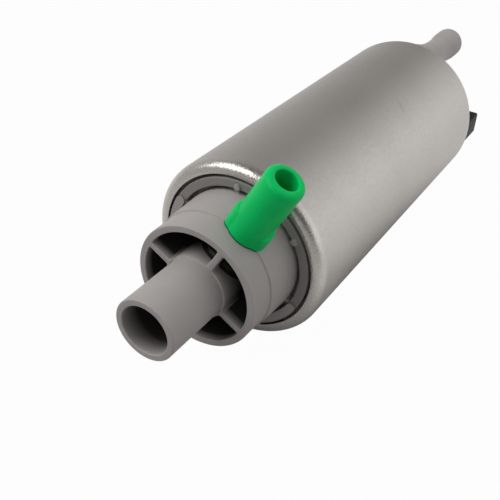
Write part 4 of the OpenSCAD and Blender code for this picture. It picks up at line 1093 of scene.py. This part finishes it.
def build_camera(lens):
    """The photograph's camera. Its axes and place were fitted to the circles and the outline in it."""
    camera = bpy.data.cameras.new("camera")
    camera.lens, camera.sensor_width = lens, 36
    camera.clip_start = 0.01
    holder = bpy.data.objects.new("camera", camera)
    bpy.context.scene.collection.objects.link(holder)
    right, up = Vector((0.53918, -0.84157, 0.03233)), Vector((0.47174, 0.33359, 0.81620))
    back = right.cross(up).normalized()
    turn = Matrix((right, up, back)).transposed().to_4x4()
    holder.matrix_world = Matrix.Translation(Vector((-156.89, -71.08, 93.71)) * MM) @ turn
    bpy.context.scene.camera = holder


def build_stage(settings):
    """Floor, room, lamps and camera, shown in plain sRGB."""
    bpy.context.scene.view_settings.view_transform = "Standard"
    build_floor()
    build_room()
    build_lamps(settings.lamp_share)
    build_camera(settings.lens)


# Operators, panel and registration


class PUMP_OT_case(bpy.types.Operator):
    """Build the rolled steel case"""
    bl_idname = "pump.case"
    bl_label = "Steel case"

    def execute(self, context):
        scene = context.scene
        build_case(scene.pump_sizes, blasted_steel(tuple(scene.pump_colours.steel)))
        return {"FINISHED"}


class PUMP_OT_covers(bpy.types.Operator):
    """Build the two moulded covers"""
    bl_idname = "pump.covers"
    bl_label = "Moulded covers"

    def execute(self, context):
        sizes = context.scene.pump_sizes
        finish = darkened_bands(grey_moulding(tuple(context.scene.pump_colours.grey)), cover_dark_bands(sizes))
        shaded_socket(finish, sizes)
        build_inlet_cover(sizes, finish)
        build_outlet_cover(sizes, finish)
        return {"FINISHED"}


class PUMP_OT_nozzle(bpy.types.Operator):
    """Build the green side nozzle"""
    bl_idname = "pump.nozzle"
    bl_label = "Side nozzle"

    def execute(self, context):
        sizes = context.scene.pump_sizes
        finish = darkened_bands(green_moulding(tuple(context.scene.pump_colours.green)), nozzle_painted_shade(sizes))
        build_nozzle(sizes, finish)
        return {"FINISHED"}


class PUMP_OT_connector(bpy.types.Operator):
    """Build the black connector"""
    bl_idname = "pump.connector"
    bl_label = "Connector"

    def execute(self, context):
        scene = context.scene
        build_connector(scene.pump_sizes, black_moulding(tuple(scene.pump_colours.black)))
        return {"FINISHED"}


class PUMP_OT_inner_parts(bpy.types.Operator):
    """Finish the parts inside the pump"""
    bl_idname = "pump.inner_parts"
    bl_label = "Inner parts"

    def execute(self, context):
        dress_inner_parts({slot: finish() for slot, finish in INNER_FINISHES.items()})
        return {"FINISHED"}


class PUMP_OT_stage(bpy.types.Operator):
    """Set the floor, the room, the lamps and the camera"""
    bl_idname = "pump.stage"
    bl_label = "Stage"

    def execute(self, context):
        build_stage(context.scene.pump_stage)
        return {"FINISHED"}


class PUMP_PT_panel(bpy.types.Panel):
    """Lists the pump's steps and settings"""
    bl_idname = "PUMP_PT_panel"
    bl_label = "Fuel pump"
    bl_space_type = "VIEW_3D"
    bl_region_type = "UI"
    bl_category = "Fuel pump"

    def draw(self, context):
        for step in STEPS:
            self.layout.operator(step.bl_idname)
        for group in (context.scene.pump_sizes, context.scene.pump_colours, context.scene.pump_stage):
            column = self.layout.column()
            for name in group.__annotations__:
                column.prop(group, name)


STEPS = (PUMP_OT_case, PUMP_OT_covers, PUMP_OT_nozzle, PUMP_OT_connector, PUMP_OT_inner_parts, PUMP_OT_stage)
GROUPS = (PumpSizes, PumpColours, StageSettings)


def register():
    """Registers the classes and the scene's settings."""
    for item in (*GROUPS, *STEPS, PUMP_PT_panel):
        bpy.utils.register_class(item)
    bpy.types.Scene.pump_sizes = bpy.props.PointerProperty(type=PumpSizes)
    bpy.types.Scene.pump_colours = bpy.props.PointerProperty(type=PumpColours)
    bpy.types.Scene.pump_stage = bpy.props.PointerProperty(type=StageSettings)


def unregister():
    """Takes them away again."""
    del bpy.types.Scene.pump_sizes, bpy.types.Scene.pump_colours, bpy.types.Scene.pump_stage
    for item in reversed((*GROUPS, *STEPS, PUMP_PT_panel)):
        bpy.utils.unregister_class(item)


def main():
    """Runs every step."""
    register()
    bpy.ops.pump.case()
    bpy.ops.pump.covers()
    bpy.ops.pump.nozzle()
    bpy.ops.pump.connector()
    bpy.ops.pump.inner_parts()
    bpy.ops.pump.stage()


if __name__ == "__main__":
    main()
